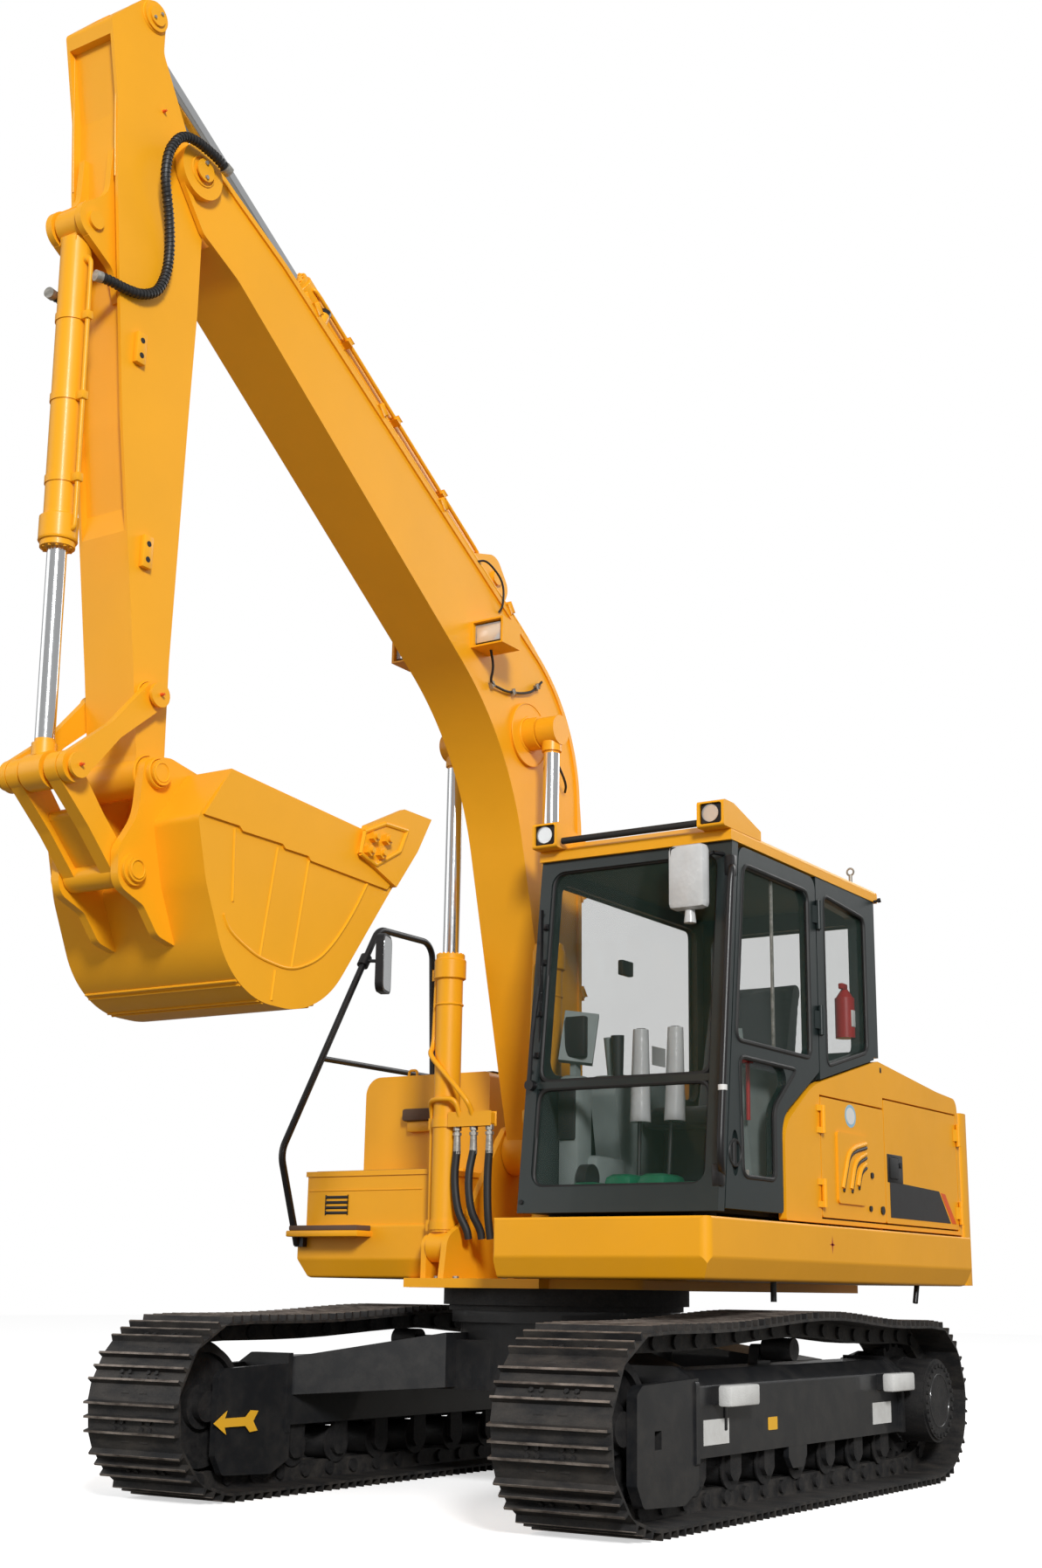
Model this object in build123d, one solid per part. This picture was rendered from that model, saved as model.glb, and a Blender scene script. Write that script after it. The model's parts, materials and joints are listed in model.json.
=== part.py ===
from build123d import *
import math
import os

# Crawler excavator of the 13.5 tonne class, standing on its tracks with the boom raised, the arm hanging
# down in front of it and the bucket curled in.
# Axes: +X to the machine's left (cab side), -Y to its front, +Z up. Everything is drawn about the point on
# the ground under the slewing axis, and write_parts() moves it all so that the origin lies under the middle
# of the whole machine. Lengths are in millimetres, angles in degrees.

# ---- clearances ----
RUNNING = 0.3       # between faces that slide or turn on each other
SIDE_PLAY = 5.0     # between the cheeks of a pinned joint
DOOR_GAP = 8.0      # round doors, lids and covers

# ---- tracks ----
GAUGE = 1990.0
SHOE_WIDTH = 500.0
WHEELBASE = 2780.0
LINK_COUNT = 43
WHEEL_HEIGHT = 370.0        # height of the idler and sprocket centres
GROUSER_TIP = 75.0          # from the chain's pin line to the grouser tips
SHOE_FACE = 49.0            # from the pin line to the outer face of the shoe plate
SHOE_BACK = 38.0            # from the pin line to the inner face of the shoe plate
RAIL_DEPTH = 35.0           # from the pin line to the rail that the rollers run on
RAIL_INSET = 30.0           # from the chain's middle to the inner face of each rail
RAIL_WIDTH = 40.0
CARRIER_Y = 150.0
CARRIER_RISE = 42.0         # how far the carrier roller lifts the top run
TOP_RUN_SAG = 12.0
ROLLER_COUNT = 7
ROLLER_PITCH = (WHEELBASE - 950) / 6
ROLLER_TREAD = 70.0
ROLLER_FLANGE = 84.0
SPROCKET_TEETH = 21
FINAL_DRIVE_RADIUS = 190.0

# ---- undercarriage frame ----
FRAME_HALF_WIDTH = 130.0
FRAME_BOTTOM = 275.0
FRAME_SHOULDER = 500.0
FRAME_RIDGE = 560.0
FRAME_FRONT = -WHEELBASE / 2 + 475
FRAME_REAR = WHEELBASE / 2 - 218
GUARD_FRONT = -WHEELBASE / 2 + 18
GUARD_BOTTOM = 95.0
GUARD_TOP = 520.0
TOWER_RADIUS = 520.0
TOWER_TOP = 765.0
RACE_TOP = 860.0
RACE_OUTER = 560.0
RACE_INNER = 430.0

# ---- upper structure ----
DECK_PLATE = 30.0           # thickness of the revolving frame's base plate
SKIRT_BOTTOM = 900.0
SKIRT_TOP = 1140.0
SKIRT_BREAK = 985.0         # where the skirt's side starts to slope in
SKIRT_TUCK = 40.0           # how far its lower edge slopes in
DECK_HALF_WIDTH = 1250.0
LEFT_DECK_FRONT = -1000.0
LEFT_DECK_INNER = 255.0
RIGHT_DECK_FRONT = -415.0
DECK_REAR = 1880.0
WORK_AXIS_X = -100.0        # middle of the boom, arm and bucket
RIGHT_DECK_INNER = 2 * WORK_AXIS_X - LEFT_DECK_INNER
BRACKET_GAP = 340.0         # between the boom-foot brackets
BRACKET_THICKNESS = 30.0

# ---- boom, in its side plane: angles above the horizontal, towards the front ----
BOOM_FOOT_Y = -50.0
BOOM_FOOT_Z = 1480.0
BOOM_LENGTH = 4548.0
BOOM_ANGLE = 51.5
BOOM_WIDTH = 290.0
BOOM_FLANGE = 16.0
FORK_GAP = 250.0
FORK_EAR = 42.0
PIN_RADIUS = 35.0

# ---- arm, hung from the boom tip ----
ARM_LENGTH = 2432.0
ARM_LEAN = 0.66             # of the arm's pin line from the vertical, towards the front
ARM_WIDTH = 240.0

# ---- cylinders ----
BOOM_CYL_FOOT_Y = -460.0
BOOM_CYL_FOOT_Z = 1040.0
BOOM_CYL_OFFSET = 272.0     # from the boom's middle to each boom cylinder's axis
BOOM_CYL_BARREL = 61.0
BOOM_CYL_ROD = 37.5
BOOM_CYL_EYE_WIDTH = 100.0
BOOM_CYL_CLOSED = 1420.0
ARM_CYL_BARREL = 66.0
ARM_CYL_ROD = 40.0
ARM_CYL_CLOSED = 1780.0
BUCKET_CYL_BARREL = 56.0
BUCKET_CYL_ROD = 35.0
BUCKET_CYL_CLOSED = 1350.0

# ---- bucket ----
BUCKET_WIDTH = 740.0
BUCKET_SHELL = 22.0
BUCKET_SIDE = 20.0
EAR_THICKNESS = 35.0
EAR_RADIUS = 88.0

# ---- cab ----
CAB_RIGHT = 255.0
CAB_LEFT = 1200.0
CAB_FLOOR = 1165.0
CAB_WALL = 55.0
CAB_REAR = 865.0
PILLAR_B_Y = 180.0
GLASS = 6.0


# ---------------------------------------------------------------- drawing helpers


def outline(*corners):
    """Closed face through (a, b) corners; a third value rounds that corner."""
    bends = []
    for i, corner in enumerate(corners):
        here = Vector(*corner[:2])
        into = (here - Vector(*corners[i - 1][:2])).normalized()
        away = (Vector(*corners[(i + 1) % len(corners)][:2]) - here).normalized()
        half_turn = math.radians(into.get_angle(away)) / 2
        radius = corner[2] if len(corner) > 2 else 0
        if radius == 0 or half_turn < 0.01:
            bends.append([here])
            continue
        reach = radius * math.tan(half_turn)
        crown = here + (away - into).normalized() * (radius / math.cos(half_turn) - radius)
        bends.append([here - into * reach, crown, here + away * reach])
    edges = [ThreePointArc(*bend) for bend in bends if len(bend) == 3]
    for bend, following in zip(bends, bends[1:] + bends[:1]):
        if (following[0] - bend[-1]).length > 0.001:
            edges.append(Line(bend[-1], following[0]))
    return make_face(edges)


def side(face, x0, x1):
    """A face drawn in (y, z), between two places across the machine."""
    return extrude(Plane.YZ.offset(x0) * face, x1 - x0)


def front(face, y0, y1):
    """A face drawn in (x, z), between two places along the machine."""
    return extrude(Plane((0, y1, 0), x_dir=(1, 0, 0), z_dir=(0, -1, 0)) * face, y1 - y0)


def level(face, z0, z1):
    """A face drawn in (x, y), between two heights."""
    return extrude(Plane.XY.offset(z0) * face, z1 - z0)


def block(x, y, z):
    """A box from its ranges along the three axes."""
    middle = [(span[0] + span[1]) / 2 for span in (x, y, z)]
    return Pos(*middle) * Box(x[1] - x[0], y[1] - y[0], z[1] - z[0])


def across(y, z, radius, x0, x1):
    """A round bar or disc that runs across the machine."""
    return Pos((x0 + x1) / 2, y, z) * Rot(0, 90, 0) * Cylinder(radius, abs(x1 - x0))


def bar(start, end, radius):
    """A round bar from one point to another."""
    way = Vector(*end) - Vector(*start)
    middle = (Vector(*start) + Vector(*end)) * 0.5
    return Plane(middle, z_dir=way) * Cylinder(radius, way.length)


def tube_along(points, radii, radius):
    """A round tube or rail along a route of straight runs and arcs."""
    route = FilletPolyline(*points, radius=radii)
    return sweep(Plane(route @ 0, z_dir=route % 0) * Circle(radius), path=route)


def mirrored(solid):
    """The same piece on the other side of the machine's middle plane."""
    return mirror(solid, about=Plane.YZ)


def turned(point, angle):
    """A (y, z) step turned about the X axis."""
    c, s = math.cos(math.radians(angle)), math.sin(math.radians(angle))
    return point[0] * c - point[1] * s, point[0] * s + point[1] * c


# ---------------------------------------------------------------- places of the pins


def boom_point(u, v):
    """(y, z) of a place u along the boom's pin line and v above it."""
    step_y, step_z = turned((-u, v), -BOOM_ANGLE)
    return BOOM_FOOT_Y + step_y, BOOM_FOOT_Z + step_z


def arm_point(s, t):
    """(y, z) of a place s down the arm's pin line and t in front of it."""
    step_y, step_z = turned((-t, -s), -ARM_LEAN)
    return TIP[0] + step_y, TIP[1] + step_z


TIP = boom_point(BOOM_LENGTH, 0)
BOOM_EYE_ALONG = 1740.0
BOOM_EYE_ABOVE = 865.0
ARM_CYL_FOOT_ALONG = 2450.0
BOOM_EYE = boom_point(BOOM_EYE_ALONG, BOOM_EYE_ABOVE)       # boom cylinder rods on the boom
ARM_CYL_FOOT = boom_point(ARM_CYL_FOOT_ALONG, 1120)
ARM_CYL_EYE = arm_point(-537, 276)
BUCKET_CYL_FOOT = arm_point(434, 452)
ROCKER_PIN = arm_point(ARM_LENGTH - 283, 26)
BUCKET_PIN = arm_point(ARM_LENGTH, 0)
LINK_TOP = arm_point(ARM_LENGTH + 66, 380)
LINK_BOTTOM = arm_point(ARM_LENGTH + 368, 83)


# ---------------------------------------------------------------- tracks


def chain_pins():
    """(y, z) of every chain pin, evenly spaced round the loop, starting at the foot of the idler."""
    half = WHEELBASE / 2
    radius = WHEEL_HEIGHT - GROUSER_TIP
    top = WHEEL_HEIGHT + radius
    steps = 200
    path = [(-half, GROUSER_TIP), (half, GROUSER_TIP)]
    path += [(half + radius * math.sin(a), WHEEL_HEIGHT - radius * math.cos(a))
             for a in [math.pi * i / steps for i in range(1, steps)]]
    for start, end, rise_0, rise_1 in ((half, CARRIER_Y, 0, CARRIER_RISE), (CARRIER_Y, -half, CARRIER_RISE, 0)):
        for i in range(steps):
            f = i / steps
            lift = rise_0 + (rise_1 - rise_0) * (1 - math.cos(math.pi * f)) / 2
            sag = TOP_RUN_SAG * math.sin(math.pi * f) ** 2
            path.append((start + (end - start) * f, top + lift - sag))
    path += [(-half - radius * math.sin(a), WHEEL_HEIGHT + radius * math.cos(a))
             for a in [math.pi * i / steps for i in range(steps + 1)]]
    lengths = [0.0]
    for a, b in zip(path, path[1:]):
        lengths.append(lengths[-1] + math.dist(a, b))
    pins = []
    k = 0
    for i in range(LINK_COUNT):
        want = lengths[-1] * i / LINK_COUNT
        while lengths[k + 1] < want:
            k += 1
        f = (want - lengths[k]) / (lengths[k + 1] - lengths[k])
        pins.append((path[k][0] + (path[k + 1][0] - path[k][0]) * f, path[k][1] + (path[k + 1][1] - path[k][1]) * f))
    return pins


# One triple-grouser shoe, as (share of the link's length, height over the pin line)
SHOE_PROFILE = [
    (0.117, SHOE_FACE), (0.142, GROUSER_TIP), (0.192, GROUSER_TIP), (0.217, SHOE_FACE),
    (0.450, SHOE_FACE), (0.475, GROUSER_TIP), (0.525, GROUSER_TIP), (0.550, SHOE_FACE),
    (0.783, SHOE_FACE), (0.808, GROUSER_TIP), (0.858, GROUSER_TIP), (0.883, SHOE_FACE),
]


def loop_outline(pins, offset):
    """Closed outline of corners that lie the given distance outside the pin line."""
    count = len(pins)
    corners = []
    for i in range(count):
        before, here, after = pins[i - 1], pins[i], pins[(i + 1) % count]
        ahead = math.atan2(after[1] - here[1], after[0] - here[0])
        behind = math.atan2(here[1] - before[1], here[0] - before[0])
        turn = math.remainder(ahead - behind, math.tau)
        if abs(turn) < 0.001:
            continue
        normal = behind + turn / 2 - math.pi / 2
        reach = offset / math.cos(turn / 2)
        corners.append((here[0] + reach * math.cos(normal), here[1] + reach * math.sin(normal)))
    return make_face(Polyline(*corners, close=True))


def make_track():
    """Right-hand chain and shoes as one loop, drawn about the chain's middle plane."""
    pins = chain_pins()
    corners = []
    for here, after in zip(pins, pins[1:] + pins[:1]):
        along = (after[0] - here[0], after[1] - here[1])
        length = math.hypot(*along)
        unit = (along[0] / length, along[1] / length)
        for share, height in SHOE_PROFILE:
            corners.append((here[0] + along[0] * share + unit[1] * height,
                            here[1] + along[1] * share - unit[0] * height))
    shoes = make_face(Polyline(*corners, close=True)) - loop_outline(pins, SHOE_BACK)
    track = side(shoes, -SHOE_WIDTH / 2, SHOE_WIDTH / 2)
    rail = loop_outline(pins, SHOE_BACK + 3) - loop_outline(pins, -RAIL_DEPTH)
    for x0 in (-RAIL_INSET - RAIL_WIDTH, RAIL_INSET):
        track += side(rail, x0, x0 + RAIL_WIDTH)
    return track


def rail_radius():
    """Radius of the largest wheel that fits inside the chain where it turns round an end."""
    pitch_radius = WHEEL_HEIGHT - GROUSER_TIP
    half_link = pitch_radius * math.sin(math.pi * 0.5 / 5.28)
    return math.sqrt(pitch_radius ** 2 - half_link ** 2) - RAIL_DEPTH - RUNNING


def make_idler():
    """Front idler wheel with its middle flange between the rails, and its axle."""
    y, z = -WHEELBASE / 2, WHEEL_HEIGHT
    tread = rail_radius()
    wheel = across(y, z, tread, -RAIL_INSET - RAIL_WIDTH, RAIL_INSET + RAIL_WIDTH)
    wheel += across(y, z, tread + 22, -RAIL_INSET + 3, RAIL_INSET - 3)
    for x0 in (-RAIL_INSET - RAIL_WIDTH, RAIL_INSET + 12):
        ring = across(y, z, tread - 30, x0, x0 + 28) - across(y, z, 92, x0, x0 + 28)
        wheel -= ring
    return wheel + across(y, z, 62, -FRAME_HALF_WIDTH + 24, FRAME_HALF_WIDTH - 24)


def make_roller(y):
    """Bottom roller between its two end collars, which bolt up under the track frame."""
    z = GROUSER_TIP + RAIL_DEPTH + RUNNING + ROLLER_TREAD
    reach = RAIL_INSET + RAIL_WIDTH
    profile = [(0, 0), (ROLLER_FLANGE, 0), (ROLLER_FLANGE, 8), (ROLLER_TREAD, 11.5), (ROLLER_TREAD, 2 * reach + 12.5),
               (ROLLER_FLANGE, 2 * reach + 16), (ROLLER_FLANGE, 2 * reach + 24), (0, 2 * reach + 24)]
    turned_face = make_face(Polyline(*profile, close=True))
    roller = Pos(-reach - 12, y, z) * Rot(0, 90, 0) * revolve(Plane.XZ * turned_face, Axis.Z)
    for sign in (-1, 1):
        x0, x1 = sorted((sign * (reach + 12), sign * (reach + 34)))
        collar = outline((y - 48, FRAME_BOTTOM), (y - 48, z - 20, 20), (y - 22, z - 48, 18), (y + 22, z - 48, 18),
                         (y + 48, z - 20, 20), (y + 48, FRAME_BOTTOM))
        roller += side(collar, x0, x1)
    return roller


def make_carrier():
    """Carrier roller on its bracket, under the hump of the top run."""
    top = 2 * WHEEL_HEIGHT - GROUSER_TIP + CARRIER_RISE - RAIL_DEPTH
    radius = 48.0
    z = top - radius - 4
    bracket = outline((CARRIER_Y - 75, FRAME_RIDGE - 25), (CARRIER_Y - 40, z + 20, 20), (CARRIER_Y + 40, z + 20, 20),
                      (CARRIER_Y + 75, FRAME_RIDGE - 25))
    reach = RAIL_INSET + RAIL_WIDTH
    roller = across(CARRIER_Y, z, radius, -reach, reach) + across(CARRIER_Y, z, 22, -reach - 6, -reach + 1)
    return roller, bracket


def make_sprocket():
    """Drive sprocket: a toothed plate whose teeth reach between the two rails."""
    root, tip = rail_radius() - 6, rail_radius() + 26
    corners = []
    step = math.tau / SPROCKET_TEETH
    for i in range(SPROCKET_TEETH):
        for share, radius in ((-0.30, root), (-0.11, tip), (0.11, tip), (0.30, root)):
            a = (i + share) * step
            corners.append((WHEELBASE / 2 + radius * math.cos(a), WHEEL_HEIGHT + radius * math.sin(a)))
    return side(make_face(Polyline(*corners, close=True)), -RAIL_INSET + 4, RAIL_INSET - 4)


def make_final_drive():
    """Sprocket with its reduction hub outside and the travel motor inside."""
    y, z = WHEELBASE / 2, WHEEL_HEIGHT
    hub = across(y, z, FINAL_DRIVE_RADIUS, RAIL_INSET - 4, 232)
    hub += across(y, z, FINAL_DRIVE_RADIUS - 14, 232, 243)
    hub += across(y, z, FINAL_DRIVE_RADIUS + 8, RAIL_INSET - 4, 74)
    hub += across(y, z, 175, -116, -RAIL_INSET + 4)
    hub += across(y, z, 128, -262, -116)
    return make_sprocket() + hub


def make_track_frame():
    """Side frame of the left track, drawn about the track's middle: box beam, idler guard and drive bracket."""
    w = FRAME_HALF_WIDTH
    section = outline((-w, FRAME_BOTTOM), (w - 12, FRAME_BOTTOM), (w - 12, FRAME_BOTTOM - 38), (w, FRAME_BOTTOM - 38),
                      (w, FRAME_SHOULDER, 14), (w - 66, FRAME_RIDGE, 20), (-w + 20, FRAME_RIDGE, 20), (-w, FRAME_RIDGE - 30))
    beam = front(section, FRAME_FRONT, FRAME_REAR)
    # idler guard: two cheeks in front of the beam, tied behind the idler
    cheek = outline((GUARD_FRONT, GUARD_BOTTOM + 80, 10), (GUARD_FRONT, GUARD_TOP - 30, 20), (GUARD_FRONT + 40, GUARD_TOP, 20),
                    (FRAME_FRONT + 20, GUARD_TOP + 14), (FRAME_FRONT + 20, GUARD_BOTTOM + 40), (FRAME_FRONT - 95, GUARD_BOTTOM - 12, 40),
                    (GUARD_FRONT + 50, GUARD_BOTTOM, 30))
    guard = side(cheek, w - 22, w + 22) + side(cheek, -w - 10, -w + 22)
    slot = Plane.YZ * (Pos(GUARD_FRONT + 157, 325) * Rectangle(52, 66))
    guard -= extrude(slot, w + 40)
    collar = front(outline((-w - 16, FRAME_BOTTOM - 30), (w + 30, FRAME_BOTTOM - 60, 12), (w + 30, GUARD_TOP, 20), (w - 60, FRAME_RIDGE + 16, 20),
                           (-w - 16, FRAME_RIDGE + 16)), FRAME_FRONT - 14, FRAME_FRONT + 16)
    yoke = block((-w, w), (FRAME_FRONT - 170, FRAME_FRONT), (FRAME_BOTTOM + 15, FRAME_SHOULDER - 10))
    rear_plate = front(outline((-w - 10, FRAME_BOTTOM - 20), (w + 24, FRAME_BOTTOM - 40), (w + 24, FRAME_SHOULDER, 20), (w - 60, FRAME_RIDGE + 14, 20),
                               (-w - 10, FRAME_RIDGE + 14)), FRAME_REAR - 30, FRAME_REAR)
    # bracket that carries the travel motor, inside the chain
    motor = outline((FRAME_REAR - 60, FRAME_BOTTOM - 20), (FRAME_REAR - 60, FRAME_RIDGE), (WHEELBASE / 2 - 60, 590, 60),
                    (WHEELBASE / 2 + 150, 560, 120), (WHEELBASE / 2 + 190, WHEEL_HEIGHT, 120), (WHEELBASE / 2 + 100, 180, 90),
                    (WHEELBASE / 2 - 120, 190, 60))
    bracket = side(motor, -w - 10, -w + 14)
    bracket -= across(WHEELBASE / 2, WHEEL_HEIGHT, 175 + RUNNING, -w - 30, -w + 30)
    # steps up to the deck, and the track guide under the middle of the beam
    frame = beam + guard + collar + yoke + rear_plate + bracket
    # the beam's end is slotted for the sprocket
    frame -= across(WHEELBASE / 2, WHEEL_HEIGHT, rail_radius() + 40, -RAIL_INSET - 8, RAIL_INSET + 8)
    for y0 in (FRAME_FRONT + 173, FRAME_REAR - 267):
        step = outline((w - 4, 430), (w + 82, 442, 10), (w + 82, 500, 10), (w - 4, 500))
        frame += front(step, y0, y0 + 250)
    guide = outline((-50, FRAME_BOTTOM + 5), (-50, 196, 20), (-12, 150, 20), (92, 150, 20), (130, 196, 20), (130, FRAME_BOTTOM + 5))
    frame += side(guide, w - 26, w - 2)
    return frame


def make_carbody():
    """X-shaped centre frame: a round tower under the slewing ring and four tapered legs to the side frames."""
    body = Pos(0, 0, (430 + TOWER_TOP) / 2) * Cylinder(TOWER_RADIUS - 40, TOWER_TOP - 430)
    body += Pos(0, 0, TOWER_TOP - 25) * Cylinder(TOWER_RADIUS, 50)
    body += block((-380, 380), (-470, 470), (430, 640))
    inner_face = GAUGE / 2 - FRAME_HALF_WIDTH
    for sign in (-1, 1):
        root = Plane.YZ.offset(280) * Pos(sign * 330, 555) * Rectangle(440, 230)
        tip = Plane.YZ.offset(inner_face) * Pos(sign * 690, 480) * Rectangle(380, 160)
        leg = loft([root, tip])
        body += leg + mirrored(leg)
    return body


def make_slewing_ring():
    """Slewing ring: the inner race bolts to the tower, the outer race to the revolving frame."""
    ring = Pos(0, 0, (TOWER_TOP + RACE_TOP) / 2) * Cylinder(RACE_OUTER, RACE_TOP - TOWER_TOP)
    ring -= Pos(0, 0, (TOWER_TOP + RACE_TOP) / 2) * Cylinder(RACE_INNER, RACE_TOP - TOWER_TOP + 2)
    return ring - (Pos(0, 0, TOWER_TOP + 12) * (Cylinder(RACE_OUTER + 1, 24) - Cylinder(RACE_OUTER - 26, 26)))


# ---------------------------------------------------------------- revolving frame


COUNTERWEIGHT_FRONT = 1895.0
ENGINE_BED = 1150.0
EAR_BOSS = 54.0


def main_plate_outline():
    """Main longitudinal plate of the revolving frame: cylinder foot, boom foot and the long bed for the engine."""
    return outline((-600, SKIRT_BOTTOM - 2), (-572, 1080, 80), (-430, 1150, 60), (-190, 1490, 90), (-110, 1597, 60), (10, 1597, 60),
                   (90, 1490, 90), (330, 1230, 200), (860, ENGINE_BED), (COUNTERWEIGHT_FRONT, ENGINE_BED),
                   (COUNTERWEIGHT_FRONT, SKIRT_BOTTOM - 2))


def main_plates():
    half = BRACKET_GAP / 2
    plates = side(main_plate_outline(), WORK_AXIS_X + half, WORK_AXIS_X + half + BRACKET_THICKNESS)
    return plates + side(main_plate_outline(), WORK_AXIS_X - half - BRACKET_THICKNESS, WORK_AXIS_X - half)


def make_upper_frame():
    """Revolving frame: base plate, two tapering main plates that hold the boom foot, and the cylinder ears."""
    base_bottom = RACE_TOP + RUNNING
    plate = level(outline((-455, -640), (LEFT_DECK_INNER, -640), (LEFT_DECK_INNER, -560), (620, -420, 60), (620, COUNTERWEIGHT_FRONT),
                          (-620, COUNTERWEIGHT_FRONT), (-620, -380, 60), (-455, -560)), base_bottom, SKIRT_BOTTOM)
    frame = plate + main_plates()
    half = BRACKET_GAP / 2
    eye_inner = BOOM_CYL_OFFSET - BOOM_CYL_EYE_WIDTH / 2
    eye_outer = BOOM_CYL_OFFSET + BOOM_CYL_EYE_WIDTH / 2
    ear_outer = LEFT_DECK_INNER - WORK_AXIS_X
    ear = outline((BOOM_CYL_FOOT_Y - EAR_BOSS, SKIRT_BOTTOM - 2), (BOOM_CYL_FOOT_Y - EAR_BOSS, BOOM_CYL_FOOT_Z),
                  (BOOM_CYL_FOOT_Y + EAR_BOSS, BOOM_CYL_FOOT_Z),
                  (BOOM_CYL_FOOT_Y + 130, SKIRT_BOTTOM - 2))
    for sign in (-1, 1):
        x = WORK_AXIS_X
        frame += across(BOOM_FOOT_Y, BOOM_FOOT_Z, 96, x + sign * (half + BRACKET_THICKNESS - 1), x + sign * (half + BRACKET_THICKNESS + 24))
        # ears and pins of the boom cylinders
        frame += across(BOOM_CYL_FOOT_Y, BOOM_CYL_FOOT_Z, EAR_BOSS, x + sign * (half + BRACKET_THICKNESS - 1), x + sign * (eye_inner - SIDE_PLAY))
        inner, outer = sorted((x + sign * (eye_outer + SIDE_PLAY), x + sign * ear_outer))
        frame += side(ear, inner, outer) + across(BOOM_CYL_FOOT_Y, BOOM_CYL_FOOT_Z, EAR_BOSS, inner, outer)
        frame += across(BOOM_CYL_FOOT_Y, BOOM_CYL_FOOT_Z, PIN_RADIUS, x + sign * (half + 2), x + sign * ear_outer)
    reach = half + BRACKET_THICKNESS + 24
    frame += across(BOOM_FOOT_Y, BOOM_FOOT_Z, PIN_RADIUS + 5, WORK_AXIS_X - reach, WORK_AXIS_X + reach)
    web = block((WORK_AXIS_X - half - 1, WORK_AXIS_X + half + 1), (420, 450), (SKIRT_BOTTOM - 2, 1170))
    return frame + web


def skirt_section(inner, outer):
    """Cross-section (x, z) of a side deck: upright above, tucked in below."""
    return outline((inner, SKIRT_BOTTOM), (outer - SKIRT_TUCK, SKIRT_BOTTOM, 22), (outer, SKIRT_BREAK, 30), (outer, SKIRT_TOP, 10),
                   (inner, SKIRT_TOP))


def make_left_deck():
    """Deck under the cab and the left compartments, with the same tucked-in skirt round its front."""
    deck = front(skirt_section(LEFT_DECK_INNER, DECK_HALF_WIDTH), LEFT_DECK_FRONT, DECK_REAR)
    nose = outline((LEFT_DECK_FRONT + SKIRT_TUCK, SKIRT_BOTTOM, 22), (DECK_REAR, SKIRT_BOTTOM, 40), (DECK_REAR, SKIRT_TOP),
                   (LEFT_DECK_FRONT, SKIRT_TOP, 10), (LEFT_DECK_FRONT, SKIRT_BREAK, 30))
    deck = deck & side(nose, LEFT_DECK_INNER, DECK_HALF_WIDTH)
    plan = outline((LEFT_DECK_INNER, LEFT_DECK_FRONT, 12), (DECK_HALF_WIDTH, LEFT_DECK_FRONT, 40), (DECK_HALF_WIDTH, DECK_REAR),
                   (LEFT_DECK_INNER, DECK_REAR))
    return deck & level(plan, SKIRT_BOTTOM - 1, SKIRT_TOP + 1)


def make_right_deck():
    """Deck under the tank and the right compartments."""
    outer, inner = -DECK_HALF_WIDTH, RIGHT_DECK_INNER
    section = outline((inner, SKIRT_BOTTOM), (inner, SKIRT_TOP), (outer, SKIRT_TOP, 10), (outer, SKIRT_BREAK, 30),
                      (outer + SKIRT_TUCK, SKIRT_BOTTOM, 22))
    deck = front(section, RIGHT_DECK_FRONT, DECK_REAR)
    nose = outline((RIGHT_DECK_FRONT + SKIRT_TUCK, SKIRT_BOTTOM, 22), (DECK_REAR, SKIRT_BOTTOM), (DECK_REAR, SKIRT_TOP),
                   (RIGHT_DECK_FRONT, SKIRT_TOP, 10), (RIGHT_DECK_FRONT, SKIRT_BREAK, 30))
    return deck & side(nose, outer, inner)


COUNTERWEIGHT_TOP = 1770.0
LIFT_LUG_X = 600.0
LIFT_LUG_Y = 1995.0
LIFT_LUG_THICKNESS = 36.0
LIFT_BORE_RADIUS = 24.0


def make_counterweight():
    """Cast counterweight, round in plan, that closes the tail between the two side covers."""
    plan = outline((-1210, COUNTERWEIGHT_FRONT, 20), (1210, COUNTERWEIGHT_FRONT, 20), (1232, 2060, 150), (560, 2235, 900), (-560, 2235, 900), (-1232, 2060, 150))
    weight = level(plan, 905, COUNTERWEIGHT_TOP)
    profile = outline((1600, 905), (2140, 905, 60), (2260, 1060, 120), (2260, 1560, 200), (2110, COUNTERWEIGHT_TOP, 90), (1600, COUNTERWEIGHT_TOP))
    return weight & side(profile, -1260, 1260)


def make_lifting_lugs():
    """Two plate lugs on the counterweight, bored for shackles."""
    plate = outline((LIFT_LUG_Y - 85, COUNTERWEIGHT_TOP), (LIFT_LUG_Y - 45, COUNTERWEIGHT_TOP + 105, 45),
                    (LIFT_LUG_Y + 45, COUNTERWEIGHT_TOP + 105, 45), (LIFT_LUG_Y + 85, COUNTERWEIGHT_TOP))
    lugs = []
    for x in (-LIFT_LUG_X, LIFT_LUG_X):
        lug = side(plate, x - LIFT_LUG_THICKNESS / 2, x + LIFT_LUG_THICKNESS / 2)
        lugs.append(lug - across(LIFT_LUG_Y, COUNTERWEIGHT_TOP + 58, LIFT_BORE_RADIUS, x - 50, x + 50))
    return lugs


def make_engine():
    """Engine and hydraulic pump as one block across the tail, at the real place and size."""
    return block((-520, 480), (1130, 1720), (ENGINE_BED, 1640)) + block((-800, -515), (1280, 1560), (1200, 1480))


# ---------------------------------------------------------------- covers


COVER_X = 1205.0
COVER_THICKNESS = 36.0
LEFT_DOOR_SPLIT = 890.0
LEFT_DOOR_FRONT = 170.0
COVER_REAR = 1885.0
HOOD_FRONT = 1010.0
HOOD_HALF_WIDTH = 760.0


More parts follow.
